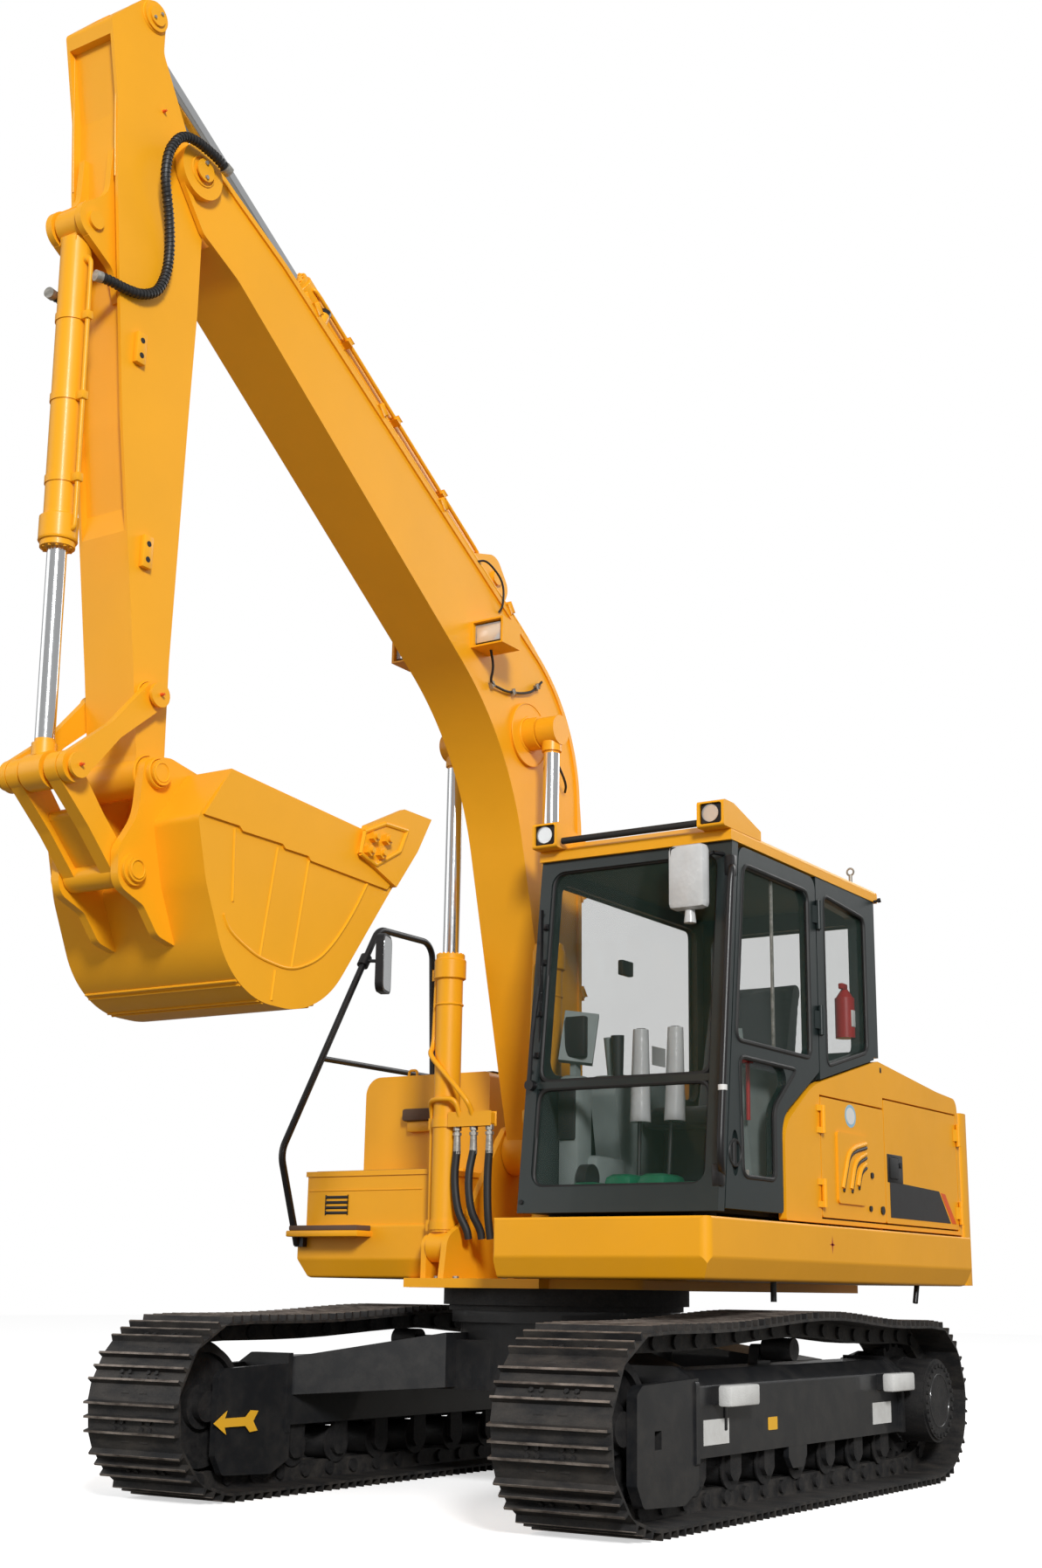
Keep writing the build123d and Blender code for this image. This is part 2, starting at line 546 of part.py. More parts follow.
def left_cover_outline():
    """Whole left side of the machinery house behind the cab door, as seen from the side."""
    return outline((-200, SKIRT_TOP + 12, 10), (-200, 1545, 150), (100, 1745, 500), (840, 1925, 60), (1600, 1850, 900), (1870, 1835, 60),
                   (COVER_REAR, 1740), (COVER_REAR, SKIRT_TOP + 12))


def cover_patch(y0, y1, z0, z1):
    return Pos((y0 + y1) / 2, (z0 + z1) / 2) * Rectangle(y1 - y0, z1 - z0)


def make_left_cover():
    """Fixed part of the left side: the curved panel beside the cab, the pillars round the doors and the top edge."""
    x0 = COVER_X - COVER_THICKNESS
    panel = side(left_cover_outline(), x0, COVER_X)
    for y0, y1, z1 in ((LEFT_DOOR_FRONT, LEFT_DOOR_SPLIT - 4, 1700), (LEFT_DOOR_SPLIT + 4, COVER_REAR - 40, 1750)):
        panel -= side(cover_patch(y0 - DOOR_GAP, y1 + DOOR_GAP, SKIRT_TOP + 30, z1 + DOOR_GAP), x0 - 1, COVER_X + 1)
    # wall behind the cab and the top deck between the side and the hood
    panel += block((HOOD_HALF_WIDTH + DOOR_GAP, x0 + 2), (HOOD_FRONT - 60, COVER_REAR), (1770, 1812))
    panel += block((300, x0 - DOOR_GAP), (HOOD_FRONT - 96, HOOD_FRONT - 60), (SKIRT_TOP, 1812))
    return panel + left_front_hinges()[0] + left_rear_hinges()[0]


def make_side_door(y0, y1, z1):
    """One hinged door of the left side, flush with the cover round it."""
    x0 = COVER_X - COVER_THICKNESS
    return side(outline((y0, SKIRT_TOP + 38, 14), (y0, z1, 14), (y1, z1, 14), (y1, SKIRT_TOP + 38, 14)), x0, COVER_X)


def left_front_hinges():
    return side_hinges(COVER_X, LEFT_DOOR_FRONT - DOOR_GAP / 2, (1280, 1600), -1, 70)


def left_rear_hinges():
    return side_hinges(COVER_X, COVER_REAR - 40 + DOOR_GAP / 2, (1260, 1650), 1, 60)


def right_hinges():
    return side_hinges(-COVER_X, 950 - DOOR_GAP / 2, (1280, 1640), -1, 70)


def make_left_door_front():
    door = make_side_door(LEFT_DOOR_FRONT, LEFT_DOOR_SPLIT - 4, 1700) + left_front_hinges()[1]
    patch = outline((330, 1245, 20), (330, 1560, 20), (690, 1560, 20), (690, 1330, 30), (620, 1245, 20))
    door += side(patch, COVER_X - 1, COVER_X + 7)
    for row in range(4):
        slot = outline((400, 1312 + row * 52), (400, 1332 + row * 52), (600, 1344 + row * 52), (600, 1324 + row * 52))
        door -= side(slot, COVER_X - COVER_THICKNESS - 1, COVER_X + 9)
    return door


def make_left_door_rear():
    door = make_side_door(LEFT_DOOR_SPLIT + 4, COVER_REAR - 40, 1750) + left_rear_hinges()[1]
    return door - side(cover_patch(925, 1005, 1372, 1492), COVER_X - 20, COVER_X + 1)


def make_right_cover():
    """Fixed part of the right side behind the tank."""
    x1 = -COVER_X + COVER_THICKNESS
    panel = side(outline((905, SKIRT_TOP + 4), (905, 1800, 40), (1600, 1800, 300), (1870, 1790, 60), (COVER_REAR, 1740), (COVER_REAR, SKIRT_TOP + 4)),
                 -COVER_X, x1)
    panel -= side(cover_patch(950 - DOOR_GAP, 1800 + DOOR_GAP, SKIRT_TOP + 30, 1740 + DOOR_GAP), -COVER_X - 1, x1 + 1)
    panel += block((x1 - 2, -HOOD_HALF_WIDTH - DOOR_GAP), (905, COVER_REAR), (1758, 1798))
    return panel + right_hinges()[0]


def make_right_door():
    """Hinged door of the pump compartment, with its louvres."""
    door = side(outline((950, SKIRT_TOP + 38, 14), (950, 1740, 14), (1800, 1740, 14), (1800, SKIRT_TOP + 38, 14)), -COVER_X,
                -COVER_X + COVER_THICKNESS)
    for row in range(6):
        slot = cover_patch(1120, 1640, 1290 + row * 60, 1312 + row * 60)
        door -= side(slot, -COVER_X - 1, -COVER_X + COVER_THICKNESS + 1)
    return door + right_hinges()[1]


HINGE_PIN = 7.0
HINGE_SLEEVE = 13.0
STRAP = 42.0


def hinge(place, length, fixed_way, moving_way):
    """A hinge drawn along Z at its place: (pin with its collars and strap, sleeve with its strap)."""
    reach = length / 2
    collar = 26.0
    pin = Cylinder(HINGE_PIN, length + 2 * collar)
    sleeve = Cylinder(HINGE_SLEEVE, length - 2 * RUNNING)
    for sign in (-1, 1):
        pin += Pos(0, 0, sign * (reach + collar / 2)) * Cylinder(HINGE_SLEEVE, collar)
        pin += Pos(0, 0, sign * (reach + collar / 2)) * fixed_way * Pos(STRAP / 2, 0, 0) * Box(STRAP, 10, collar)
    sleeve += moving_way * Pos(STRAP / 2, 0, 0) * Box(STRAP, 10, length - 2 * RUNNING)
    sleeve -= Cylinder(HINGE_PIN + RUNNING, length + 2)
    return place * pin, place * sleeve


def side_hinges(x, y, heights, fixed_to, length):
    """Upright hinges outside a side panel at x, with the fixed leaf towards the +1 or -1 end of Y."""
    outside = 1 if x > 0 else -1
    tilt = math.degrees(math.asin((HINGE_SLEEVE + 4) / STRAP))
    fixed, moving = [], []
    for z in heights:
        place = Pos(x + outside * (HINGE_SLEEVE + 1), y, z)
        ways = {1: Rot(0, 0, 90 + outside * tilt), -1: Rot(0, 0, -90 - outside * tilt)}
        pin, sleeve = hinge(place, length, ways[fixed_to], ways[-fixed_to])
        fixed.append(pin)
        moving.append(sleeve)
    return sum(fixed[1:], fixed[0]), sum(moving[1:], moving[0])


HOOD_HINGE_Z = 1795.0
HOOD_HINGE_Y = HOOD_FRONT - HINGE_SLEEVE - 1


def hood_hinges():
    """Two hinges across the front of the hood, on the bulkhead's rail."""
    fixed, moving = [], []
    for x in (-420, 420):
        place = Pos(x, HOOD_HINGE_Y, HOOD_HINGE_Z) * Rot(0, 90, 0)
        pin, sleeve = hinge(place, 90, Rot(0, 0, 0), Rot(0, 0, 90))
        fixed.append(pin)
        moving.append(sleeve)
    return fixed[0] + fixed[1], moving[0] + moving[1]


def make_hood():
    """Engine hood lid between the side covers, crowned along the middle."""
    outer = outline((-HOOD_HALF_WIDTH, 1775), (-HOOD_HALF_WIDTH, 1840, 30), (-560, 1915, 60), (560, 1915, 60), (HOOD_HALF_WIDTH, 1840, 30),
                    (HOOD_HALF_WIDTH, 1775))
    inner = outline((-HOOD_HALF_WIDTH + 22, 1750), (-HOOD_HALF_WIDTH + 22, 1822, 20), (-552, 1892, 50), (552, 1892, 50),
                    (HOOD_HALF_WIDTH - 22, 1822, 20), (HOOD_HALF_WIDTH - 22, 1750))
    lid = front(outer, HOOD_FRONT, COVER_REAR - 10) - front(inner, HOOD_FRONT + 22, COVER_REAR - 32)
    return lid + hood_hinges()[1]


def make_bulkhead():
    """Firewall behind the boom bay, across the front of the engine space, with the hood's hinge rail."""
    wall = block((-HOOD_HALF_WIDTH - DOOR_GAP, 300), (HOOD_FRONT - 90, HOOD_FRONT - 60), (SKIRT_TOP, 1770)) - main_plates()
    wall += block((-HOOD_HALF_WIDTH, HOOD_HALF_WIDTH), (HOOD_FRONT - 60, HOOD_FRONT - DOOR_GAP), (1735, 1765))
    hinge, _ = hood_hinges()
    return wall + hinge


# ---------------------------------------------------------------- right-hand side: tank, tool box, rail


TANK_FRONT = 30.0
TANK_REAR = 880.0
TANK_TOP = 1880.0
BOX_TOP = 1390.0
LID_THICKNESS = 24.0
LID_HINGE_Y = TANK_FRONT - 30.0


def make_tank():
    """Fuel tank with rounded outer edges and a low curb round its top."""
    section = outline((RIGHT_DECK_INNER - 10, SKIRT_TOP), (RIGHT_DECK_INNER - 10, TANK_TOP, 30), (-1215, TANK_TOP, 90), (-1215, SKIRT_TOP))
    tank = front(section, TANK_FRONT, TANK_REAR)
    tank += Pos(-720, 560, TANK_TOP + 20) * Cylinder(62, 44)
    return tank


def make_tool_box():
    """Tool box in front of the tank, open on top, with the filler step on its front."""
    outer = block((-1215, -470), (-400, TANK_FRONT), (SKIRT_TOP, BOX_TOP - LID_THICKNESS - RUNNING))
    cavity = block((-1190, -495), (-375, TANK_FRONT - 29), (SKIRT_TOP + 20, BOX_TOP))
    return outer - cavity + lid_hinges()[0]


def lid_hinges():
    """Two hinges along the rear edge of the tool box lid."""
    fixed, moving = [], []
    for x in (-1040, -650):
        place = Pos(x, LID_HINGE_Y, BOX_TOP + HINGE_SLEEVE + 1) * Rot(0, 90, 0)
        pin, sleeve = hinge(place, 80, Rot(0, 0, 0), Rot(0, 0, -62))
        fixed.append(pin)
        moving.append(sleeve)
    return fixed[0] + fixed[1], moving[0] + moving[1]


def make_tool_box_lid():
    """Flat tread lid that rests on the tool box."""
    lid = block((-1222, -463), (-407, LID_HINGE_Y - 9), (BOX_TOP - LID_THICKNESS, BOX_TOP))
    return lid + lid_hinges()[1]


RAIL_X = -1235.0
RAIL_RADIUS = 17.0
RAIL_KNEE = (-110.0, 2290.0)
RAIL_TOP_FRONT = (110.0, 2660.0)


def make_handrail():
    """Climbing rail of the right side: up from the deck's corner, over the tank and down behind it."""
    route = [(RAIL_X, -440, SKIRT_TOP - 90), (RAIL_X, -590, 1470), (RAIL_X,) + RAIL_KNEE, (RAIL_X,) + RAIL_TOP_FRONT,
             (RAIL_X, 590, 2660), (RAIL_X, 640, 1700)]
    rail = tube_along(route, [120, 400, 90, 90], RAIL_RADIUS)
    rail += bar((RAIL_X, -310, 1945), (RAIL_X, 640, 1945), RAIL_RADIUS - 3)
    rail += block((RAIL_X - 10, RAIL_X + 40), (-446, RIGHT_DECK_FRONT), (SKIRT_TOP - 100, SKIRT_TOP - 50))
    rail += block((RAIL_X - 5, -1215), (612, 668), (1690, 1760))
    return rail


def make_mirrors():
    """Rear-view mirrors: one clamped to the climbing rail, one on the cab's left front corner."""
    lean = math.degrees(math.atan2(RAIL_TOP_FRONT[0] - RAIL_KNEE[0], RAIL_TOP_FRONT[1] - RAIL_KNEE[1]))
    clamp = ((RAIL_TOP_FRONT[0] + RAIL_KNEE[0]) / 2, (RAIL_TOP_FRONT[1] + RAIL_KNEE[1]) / 2)
    right = Pos(RAIL_X, *clamp) * Rot(-lean, 0, 0) * (Cylinder(30, 60) - Cylinder(RAIL_RADIUS + RUNNING, 62))
    right += bar((RAIL_X + 24, *clamp), (RAIL_X + 95, clamp[0] + 10, clamp[1] - 5), 9)
    right += Pos(RAIL_X + 112, clamp[0] + 14, clamp[1] - 20) * Rot(0, 0, 22) * side(RectangleRounded(170, 300, 45), -20, 20)
    top = cab_front_y(CAB_EAVES)
    left = Pos(CAB_LEFT - 150, top - 100, CAB_EAVES - 160) * Rot(6, 0, 14) * Box(150, 36, 250)
    arm_height = CAB_EAVES - 60
    left += bar((CAB_LEFT - 150, top - 84, CAB_EAVES - 100), (CAB_LEFT - 60, top - 60, arm_height), 9)
    left += bar((CAB_LEFT - 60, top - 60, arm_height), (CAB_LEFT - 40, cab_front_y(arm_height), arm_height), 9)
    return [right, left]


# ---------------------------------------------------------------- cab


CAB_EAVES = 2700.0
CAB_FRONT_SLOPE = 170.0         # how far the windscreen leans back from floor to eaves
CAB_FRONT = -820.0
DOOR_SILL = 1178.0
SCREEN_BOTTOM = 1270.0
SCREEN_TOP = CAB_EAVES - 50
SCREEN_RAIL = 1700.0            # height of the rail between the lower and the upper screen
SCREEN_RAIL_HEIGHT = 30.0


def cab_front_y(z):
    """Front face of the cab at a height."""
    return CAB_FRONT + CAB_FRONT_SLOPE * (z - CAB_FLOOR) / (CAB_EAVES - CAB_FLOOR)


def screen_slab(z0, z1, depth_0, depth_1):
    """Leaning strip of the cab's front between two heights and two depths behind its face."""
    return outline((cab_front_y(z0) + depth_0, z0), (cab_front_y(z1) + depth_0, z1), (cab_front_y(z1) + depth_1, z1),
                   (cab_front_y(z0) + depth_1, z0))


def screen_opening(gap):
    """Opening of the windscreen, seen from the front, drawn in by a gap."""
    middle = Pos((CAB_RIGHT + CAB_LEFT) / 2 - 4, (SCREEN_BOTTOM + SCREEN_TOP) / 2)
    shape = RectangleRounded(CAB_LEFT - CAB_RIGHT - 120 - 2 * gap, SCREEN_TOP - SCREEN_BOTTOM - 2 * gap, 65)
    return front(middle * shape, CAB_FRONT - 80, -500)


def make_cab_front():
    """Windscreen frame: two pillars, sill and header, leaning back, with a thin rail between the two screens."""
    frame = side(screen_slab(CAB_FLOOR, CAB_EAVES, 0, CAB_WALL), CAB_RIGHT, CAB_LEFT) - screen_opening(0)
    rail = screen_slab(SCREEN_RAIL - SCREEN_RAIL_HEIGHT / 2, SCREEN_RAIL + SCREEN_RAIL_HEIGHT / 2, 10, CAB_WALL - 10)
    return frame + side(rail, CAB_RIGHT + 40, CAB_LEFT - 40)


def wall_outline(inset_front, rear):
    """Side wall between the windscreen frame and the rear wall."""
    return outline((cab_front_y(CAB_FLOOR) + inset_front, CAB_FLOOR), (cab_front_y(CAB_EAVES) + inset_front, CAB_EAVES),
                   (rear, CAB_EAVES), (rear, CAB_FLOOR))


def make_cab_right():
    wall = side(wall_outline(CAB_WALL, CAB_REAR - CAB_WALL), CAB_RIGHT, CAB_RIGHT + 42)
    window = outline((-640, 1760, 60), (-545, CAB_EAVES - 80, 60), (740, CAB_EAVES - 80, 60), (740, 1760, 60))
    return wall - side(window, CAB_RIGHT - 1, CAB_RIGHT + 50)


def quarter_window(gap):
    """Quarter light behind the door, its lower edge along the cover's curve."""
    front_edge, rear_edge = PILLAR_B_Y + 92 + gap, CAB_REAR - 120 - gap
    return outline((front_edge, 1842 + gap, 40), (front_edge, CAB_EAVES - 70 - gap, 50), (rear_edge, CAB_EAVES - 100 - gap, 60),
                   (rear_edge, 1957 + gap, 60))


def make_cab_left_rear():
    """Fixed left wall: the door post and the panel round the quarter light."""
    wall = side(outline((PILLAR_B_Y + DOOR_GAP, CAB_FLOOR), (PILLAR_B_Y + DOOR_GAP, CAB_EAVES), (CAB_REAR - CAB_WALL, CAB_EAVES),
                        (CAB_REAR - CAB_WALL, CAB_FLOOR)), CAB_LEFT - 86, CAB_LEFT - 42)
    wall -= side(quarter_window(0), CAB_LEFT - 100, CAB_LEFT)
    skin = side(outline((PILLAR_B_Y + DOOR_GAP, 1700), (PILLAR_B_Y + DOOR_GAP, CAB_EAVES), (CAB_REAR - CAB_WALL, CAB_EAVES),
                        (CAB_REAR - CAB_WALL, 1700)), CAB_LEFT - 42, CAB_LEFT)
    skin -= side(offset(left_cover_outline(), 10), CAB_LEFT - 43, CAB_LEFT + 1)
    return wall + (skin - side(quarter_window(0), CAB_LEFT - 100, CAB_LEFT + 1)) + cab_door_hinges()[0]


def make_cab_rear():
    wall = block((CAB_RIGHT, CAB_LEFT), (CAB_REAR - CAB_WALL, CAB_REAR), (CAB_FLOOR, CAB_EAVES))
    window = Pos((CAB_RIGHT + CAB_LEFT) / 2, CAB_EAVES - 420) * RectangleRounded(CAB_LEFT - CAB_RIGHT - 170, 620, 60)
    wall = wall - front(window, CAB_REAR - 80, CAB_REAR + 10)
    # the left cover stands outboard of the lower rear corner
    return wall - block((COVER_X - COVER_THICKNESS - 10, CAB_LEFT + 1), (CAB_REAR - 80, CAB_REAR + 1), (CAB_FLOOR - 1, 1942))


def make_cab_floor():
    """Floor plate with its rubber mounts on the deck."""
    floor = block((CAB_RIGHT + 42, CAB_LEFT - 86), (CAB_FRONT + CAB_WALL + 4, CAB_REAR - CAB_WALL), (CAB_FLOOR, CAB_FLOOR + 34))
    for x in (CAB_RIGHT + 110, CAB_LEFT - 160):
        for y in (-640, 720):
            floor += Pos(x, y, (SKIRT_TOP + CAB_FLOOR) / 2) * Cylinder(55, CAB_FLOOR - SKIRT_TOP)
    return floor


def make_cab_roof():
    """Roof pressing with a raised middle, drooping at the back, and the two lamp cowls."""
    profile = outline((cab_front_y(CAB_EAVES) - 18, CAB_EAVES), (cab_front_y(CAB_EAVES) - 20, CAB_EAVES + 45, 20),
                      (-560, CAB_EAVES + 100, 80), (640, CAB_EAVES + 112, 200),
                      (880, CAB_EAVES + 65, 60), (905, CAB_EAVES - 8, 10), (905, CAB_EAVES))
    roof = side(profile, CAB_RIGHT - 4, CAB_LEFT + 4)
    crown, shoulder = CAB_EAVES + 115, CAB_EAVES + 52
    section = outline((CAB_RIGHT - 4, CAB_EAVES), (CAB_RIGHT - 4, shoulder, 20), (CAB_RIGHT + 130, crown, 80), (CAB_LEFT - 130, crown, 80),
                      (CAB_LEFT + 4, shoulder, 20), (CAB_LEFT + 4, CAB_EAVES))
    roof = roof & front(section, -900, 1000)
    foot, top = CAB_EAVES + 48, CAB_EAVES + 162
    cowl = outline((-735, foot, 12), (-735, top, 14), (-640, top, 30), (-380, foot + 42), (-380, foot))
    for x0 in (CAB_RIGHT - 4, CAB_LEFT + 4 - 128):
        roof += side(cowl, x0, x0 + 128)
        roof -= front(Pos(x0 + 64, CAB_EAVES + 106) * RectangleRounded(104, 90, 12), -740, -712)
    return roof


def door_outline(gap):
    """Door seen from the side: full height in front, cut away behind by the machinery cover's curve."""
    top = CAB_EAVES - 10
    return outline((cab_front_y(DOOR_SILL) + CAB_WALL + gap, DOOR_SILL), (cab_front_y(top) + CAB_WALL + gap, top, 60),
                   (PILLAR_B_Y, top, 60), (PILLAR_B_Y, 1810, 20), (60, 1740, 200), (-215, 1580, 150), (-215, DOOR_SILL, 20))


def make_cab_door():
    """Cab door: frame with an upper and a lower light, hung on the rear post."""
    door = side(door_outline(DOOR_GAP), CAB_LEFT - 42, CAB_LEFT)
    upper = outline((-640, 1860, 60), (-552, CAB_EAVES - 85, 70), (95, CAB_EAVES - 85, 90), (95, 1860, 60))
    lower = outline((-590, 1310, 40), (-610, 1795, 60), (-60, 1795, 60), (-285, 1610, 100), (-285, 1310, 40))
    door = door - side(upper, CAB_LEFT - 50, CAB_LEFT + 1) - side(lower, CAB_LEFT - 50, CAB_LEFT + 1)
    recess = Pos(-662, 1400) * Ellipse(34, 92)
    return door - side(recess, CAB_LEFT - 14, CAB_LEFT + 1) + cab_door_hinges()[1]


def cab_door_hinges():
    return side_hinges(CAB_LEFT, PILLAR_B_Y + DOOR_GAP / 2, (2040, CAB_EAVES - 180), 1, 80)


def make_cab_glass():
    """Fixed glazing: windscreen, lower screen, right side, rear and quarter light, as separate panes."""
    panes = []
    middle = CAB_WALL / 2
    edge = SCREEN_RAIL_HEIGHT / 2 + RUNNING
    for z0, z1 in ((SCREEN_BOTTOM - 20, SCREEN_RAIL - edge), (SCREEN_RAIL + edge, SCREEN_TOP + 20)):
        pane = side(screen_slab(z0, z1, middle - 3, middle + 3), CAB_RIGHT + 42, CAB_LEFT - 42)
        panes.append(pane & screen_opening(RUNNING))
    top = CAB_EAVES - 80.3
    panes.append(side(outline((-639, 1760.3, 60), (-544.6, top, 60), (739.7, top, 60), (739.7, 1760.3, 60)), CAB_RIGHT + 18, CAB_RIGHT + 24))
    panes.append(front(Pos((CAB_RIGHT + CAB_LEFT) / 2, CAB_EAVES - 420) * RectangleRounded(CAB_LEFT - CAB_RIGHT - 170.6, 619.4, 60),
                       CAB_REAR - 30, CAB_REAR - 24))
    panes.append(side(quarter_window(RUNNING), CAB_LEFT - 24, CAB_LEFT - 18))
    return panes


def make_door_glass():
    top = CAB_EAVES - 85.3
    upper = outline((-639.6, 1860.3, 60), (-551.6, top, 70), (94.7, top, 90), (94.7, 1860.3, 60))
    lower = outline((-589.7, 1310.3, 40), (-609.6, 1794.7, 60), (-60.5, 1794.7, 60), (-285.3, 1610, 100), (-285.3, 1310.3, 40))
    return [side(upper, CAB_LEFT - 24, CAB_LEFT - 18), side(lower, CAB_LEFT - 24, CAB_LEFT - 18)]


def make_seat():
    """Suspension base, cushion and back of the operator's seat."""
    x = (CAB_RIGHT + CAB_LEFT) / 2 - 15
    base = block((x - 170, x + 170), (-60, 370), (CAB_FLOOR + 34, 1560))
    cushion = side(outline((-150, 1560, 20), (-165, 1650, 50), (329.7, 1665, 40), (329.7, 1560, 20)), x - 245, x + 245)
    back = side(outline((330, 1600), (500, 2290, 40), (590, 2280, 40), (470, 1580, 40)), x - 235, x + 235)
    return base, cushion, back


def make_consoles():
    """Side consoles with their armrests, and the joystick stalks."""
    parts = []
    for x0, x1 in ((CAB_RIGHT + 62, CAB_RIGHT + 190), (CAB_LEFT - 232, CAB_LEFT - 125)):
        body = outline((-230, CAB_FLOOR + 34), (-330, 1700, 40), (-300, 1790, 50), (330, 1790, 60), (330, CAB_FLOOR + 34))
        shape = side(body, x0, x1)
        shape += Pos((x0 + x1) / 2, -255, 1860) * Rot(12, 0, 0) * Cylinder(24, 200)
        parts.append(shape)
    return parts


def make_travel_levers():
    """Two travel levers with their pedals on the floor."""
    parts = []
    x = (CAB_RIGHT + CAB_LEFT) / 2 - 15
    for sign in (-1, 1):
        lever = bar((x + sign * 70, -470, CAB_FLOOR + 40), (x + sign * 85, -420, 1900), 9)
        lever += Pos(x + sign * 85, -418, 1920) * Cylinder(20, 90)
        lever += side(outline((-560, CAB_FLOOR + 34), (-590, CAB_FLOOR + 90, 10), (-400, CAB_FLOOR + 70, 10), (-400, CAB_FLOOR + 34)),
                      x + sign * 72 - 50, x + sign * 72 + 50)
        parts.append(lever)
    return parts


def make_monitor():
    """Display on its post beside the right-hand pillar."""
    x = CAB_RIGHT + 42
    post = block((x, x + 60), (-520, -480), (1700, 1750)) + block((x + 30, x + 60), (-520, -480), (1750, 1850))
    return post + Pos(x + 62, -500, 1930) * Rot(-14, 0, 28) * Box(150, 40, 230)


# ---------------------------------------------------------------- cylinders


def along(x, foot, eye):
    """Plane at a cylinder's foot with its Z along the cylinder and its X across the machine."""
    return Plane((x, foot[0], foot[1]), x_dir=(1, 0, 0), z_dir=(0, eye[0] - foot[0], eye[1] - foot[1]))


def make_barrel(radius, rod, closed, eye_width, eye_radius, pin):
    """Cylinder barrel drawn up from its foot eye: bored tube, end cap and bolted gland."""
    top = closed - 95
    wall = 11.0
    profile = [(0, 62), (radius, 62), (radius, top - 120), (radius + 13, top - 112), (radius + 13, top - 30), (radius + 6, top - 24),
               (radius + 6, top), (rod + RUNNING, top), (rod + RUNNING, top - 100), (radius - wall, top - 100), (radius - wall, 100), (0, 100)]
    tube = revolve(Plane.XZ * make_face(Polyline(*profile, close=True)), Axis.Z)
    foot = Rot(0, 90, 0) * Cylinder(eye_radius, eye_width)
    foot += Pos(0, 0, 50) * Box(eye_width * 0.8, radius * 1.5, 60)
    return tube + foot - Rot(0, 90, 0) * Cylinder(pin + RUNNING, eye_width + 2)


def make_rod(length, radius, rod, closed, eye_width, eye_radius):
    """Piston rod with its piston inside the barrel and its eye, pin and end plates at the far end."""
    inner = length - closed + 115
    shaft = Pos(0, 0, (inner + length) / 2) * Cylinder(rod, length - inner)
    piston = Pos(0, 0, inner + 25) * Cylinder(radius - 11 - RUNNING, 50)
    eye = Pos(0, 0, length) * Rot(0, 90, 0) * Cylinder(eye_radius, eye_width)
    neck = Pos(0, 0, length - eye_radius - 8) * Cylinder(rod + 9, 46)
    return shaft + piston + eye + neck


# ---------------------------------------------------------------- boom


def boom_outline():
    corners = [(-30, -100, 60), (1787, 690, 1320), (4120, -8, 300), (4330, -112, 60), (4548, -112, 60), (4660, 0, 60),
               (4600, 112, 60), (4430, 190, 150), (4120, 340, 300), (1615, 1342, 800), (-40, 112, 60), (-112, 0, 40)]
    return outline(*[boom_point(c[0], c[1]) + (c[2],) for c in corners])


def make_boom():
    """Welded box boom with its flanges, foot boss, tip fork and the lugs of the three cylinder pins."""
    x = WORK_AXIS_X
    half = BOOM_WIDTH / 2
    whole = boom_outline()
    box = side(whole, x - half, x + half)
    panel = offset(whole, -BOOM_FLANGE - 8, kind=Kind.INTERSECTION)
    for x0 in (x - half - 1, x + half - 9):
        box -= side(panel, x0, x0 + 10)
    # foot boss, bored for its pin
    box += across(*boom_point(0, 0), 108, x - BRACKET_GAP / 2 + SIDE_PLAY, x + BRACKET_GAP / 2 - SIDE_PLAY)
    box -= across(*boom_point(0, 0), PIN_RADIUS + 5 + RUNNING, x - 400, x + 400)
    # tip fork with its pin
    slot = outline(boom_point(4278, -300), boom_point(4800, -300), boom_point(4800, 600), boom_point(4278, 600))
    box -= side(slot, x - FORK_GAP / 2, x + FORK_GAP / 2)
    outer = FORK_GAP / 2 + FORK_EAR
    for sign in (-1, 1):
        x0, x1 = sorted((x + sign * FORK_GAP / 2, x + sign * outer))
        box += across(*TIP, 112, x0, x1)
    box += across(*TIP, PIN_RADIUS, x - outer - 12, x + outer + 12)
    # bosses of the boom cylinder pin
    box += across(*BOOM_EYE, 150, x - half - 4, x + half + 4)
    reach = BOOM_CYL_OFFSET - 50 - SIDE_PLAY
    box += across(*BOOM_EYE, 78, x - reach, x + reach)
    # lugs and pin of the arm cylinder's foot
    lug = outline(boom_point(ARM_CYL_FOOT_ALONG - 200, 960), boom_point(ARM_CYL_FOOT_ALONG - 90, 1195) + (70,),
                  boom_point(ARM_CYL_FOOT_ALONG + 90, 1195) + (80,), boom_point(ARM_CYL_FOOT_ALONG + 230, 860))
    for x0 in (x - 102, x + 72):
        box += side(lug, x0, x0 + 30)
    return box + across(*ARM_CYL_FOOT, PIN_RADIUS, x - 116, x + 116)


def make_boom_lamps():
    """Work lamps in hooded boxes on both sides of the boom, open towards the front."""
    lamps = []
    y, z = boom_point(2265, 770)
    for sign in (-1, 1):
        x0, x1 = sorted((WORK_AXIS_X + sign * (BOOM_WIDTH / 2 - 9 + 0.3), WORK_AXIS_X + sign * (BOOM_WIDTH / 2 + 165)))
        hood = block((x0, x1), (y - 85, y + 60), (z - 62, z + 62))
        lamps.append(hood - block((x0 + 12, x1 - 10), (y - 86, y - 30), (z - 54, z + 54)))
    return lamps


# ---------------------------------------------------------------- arm and bucket linkage


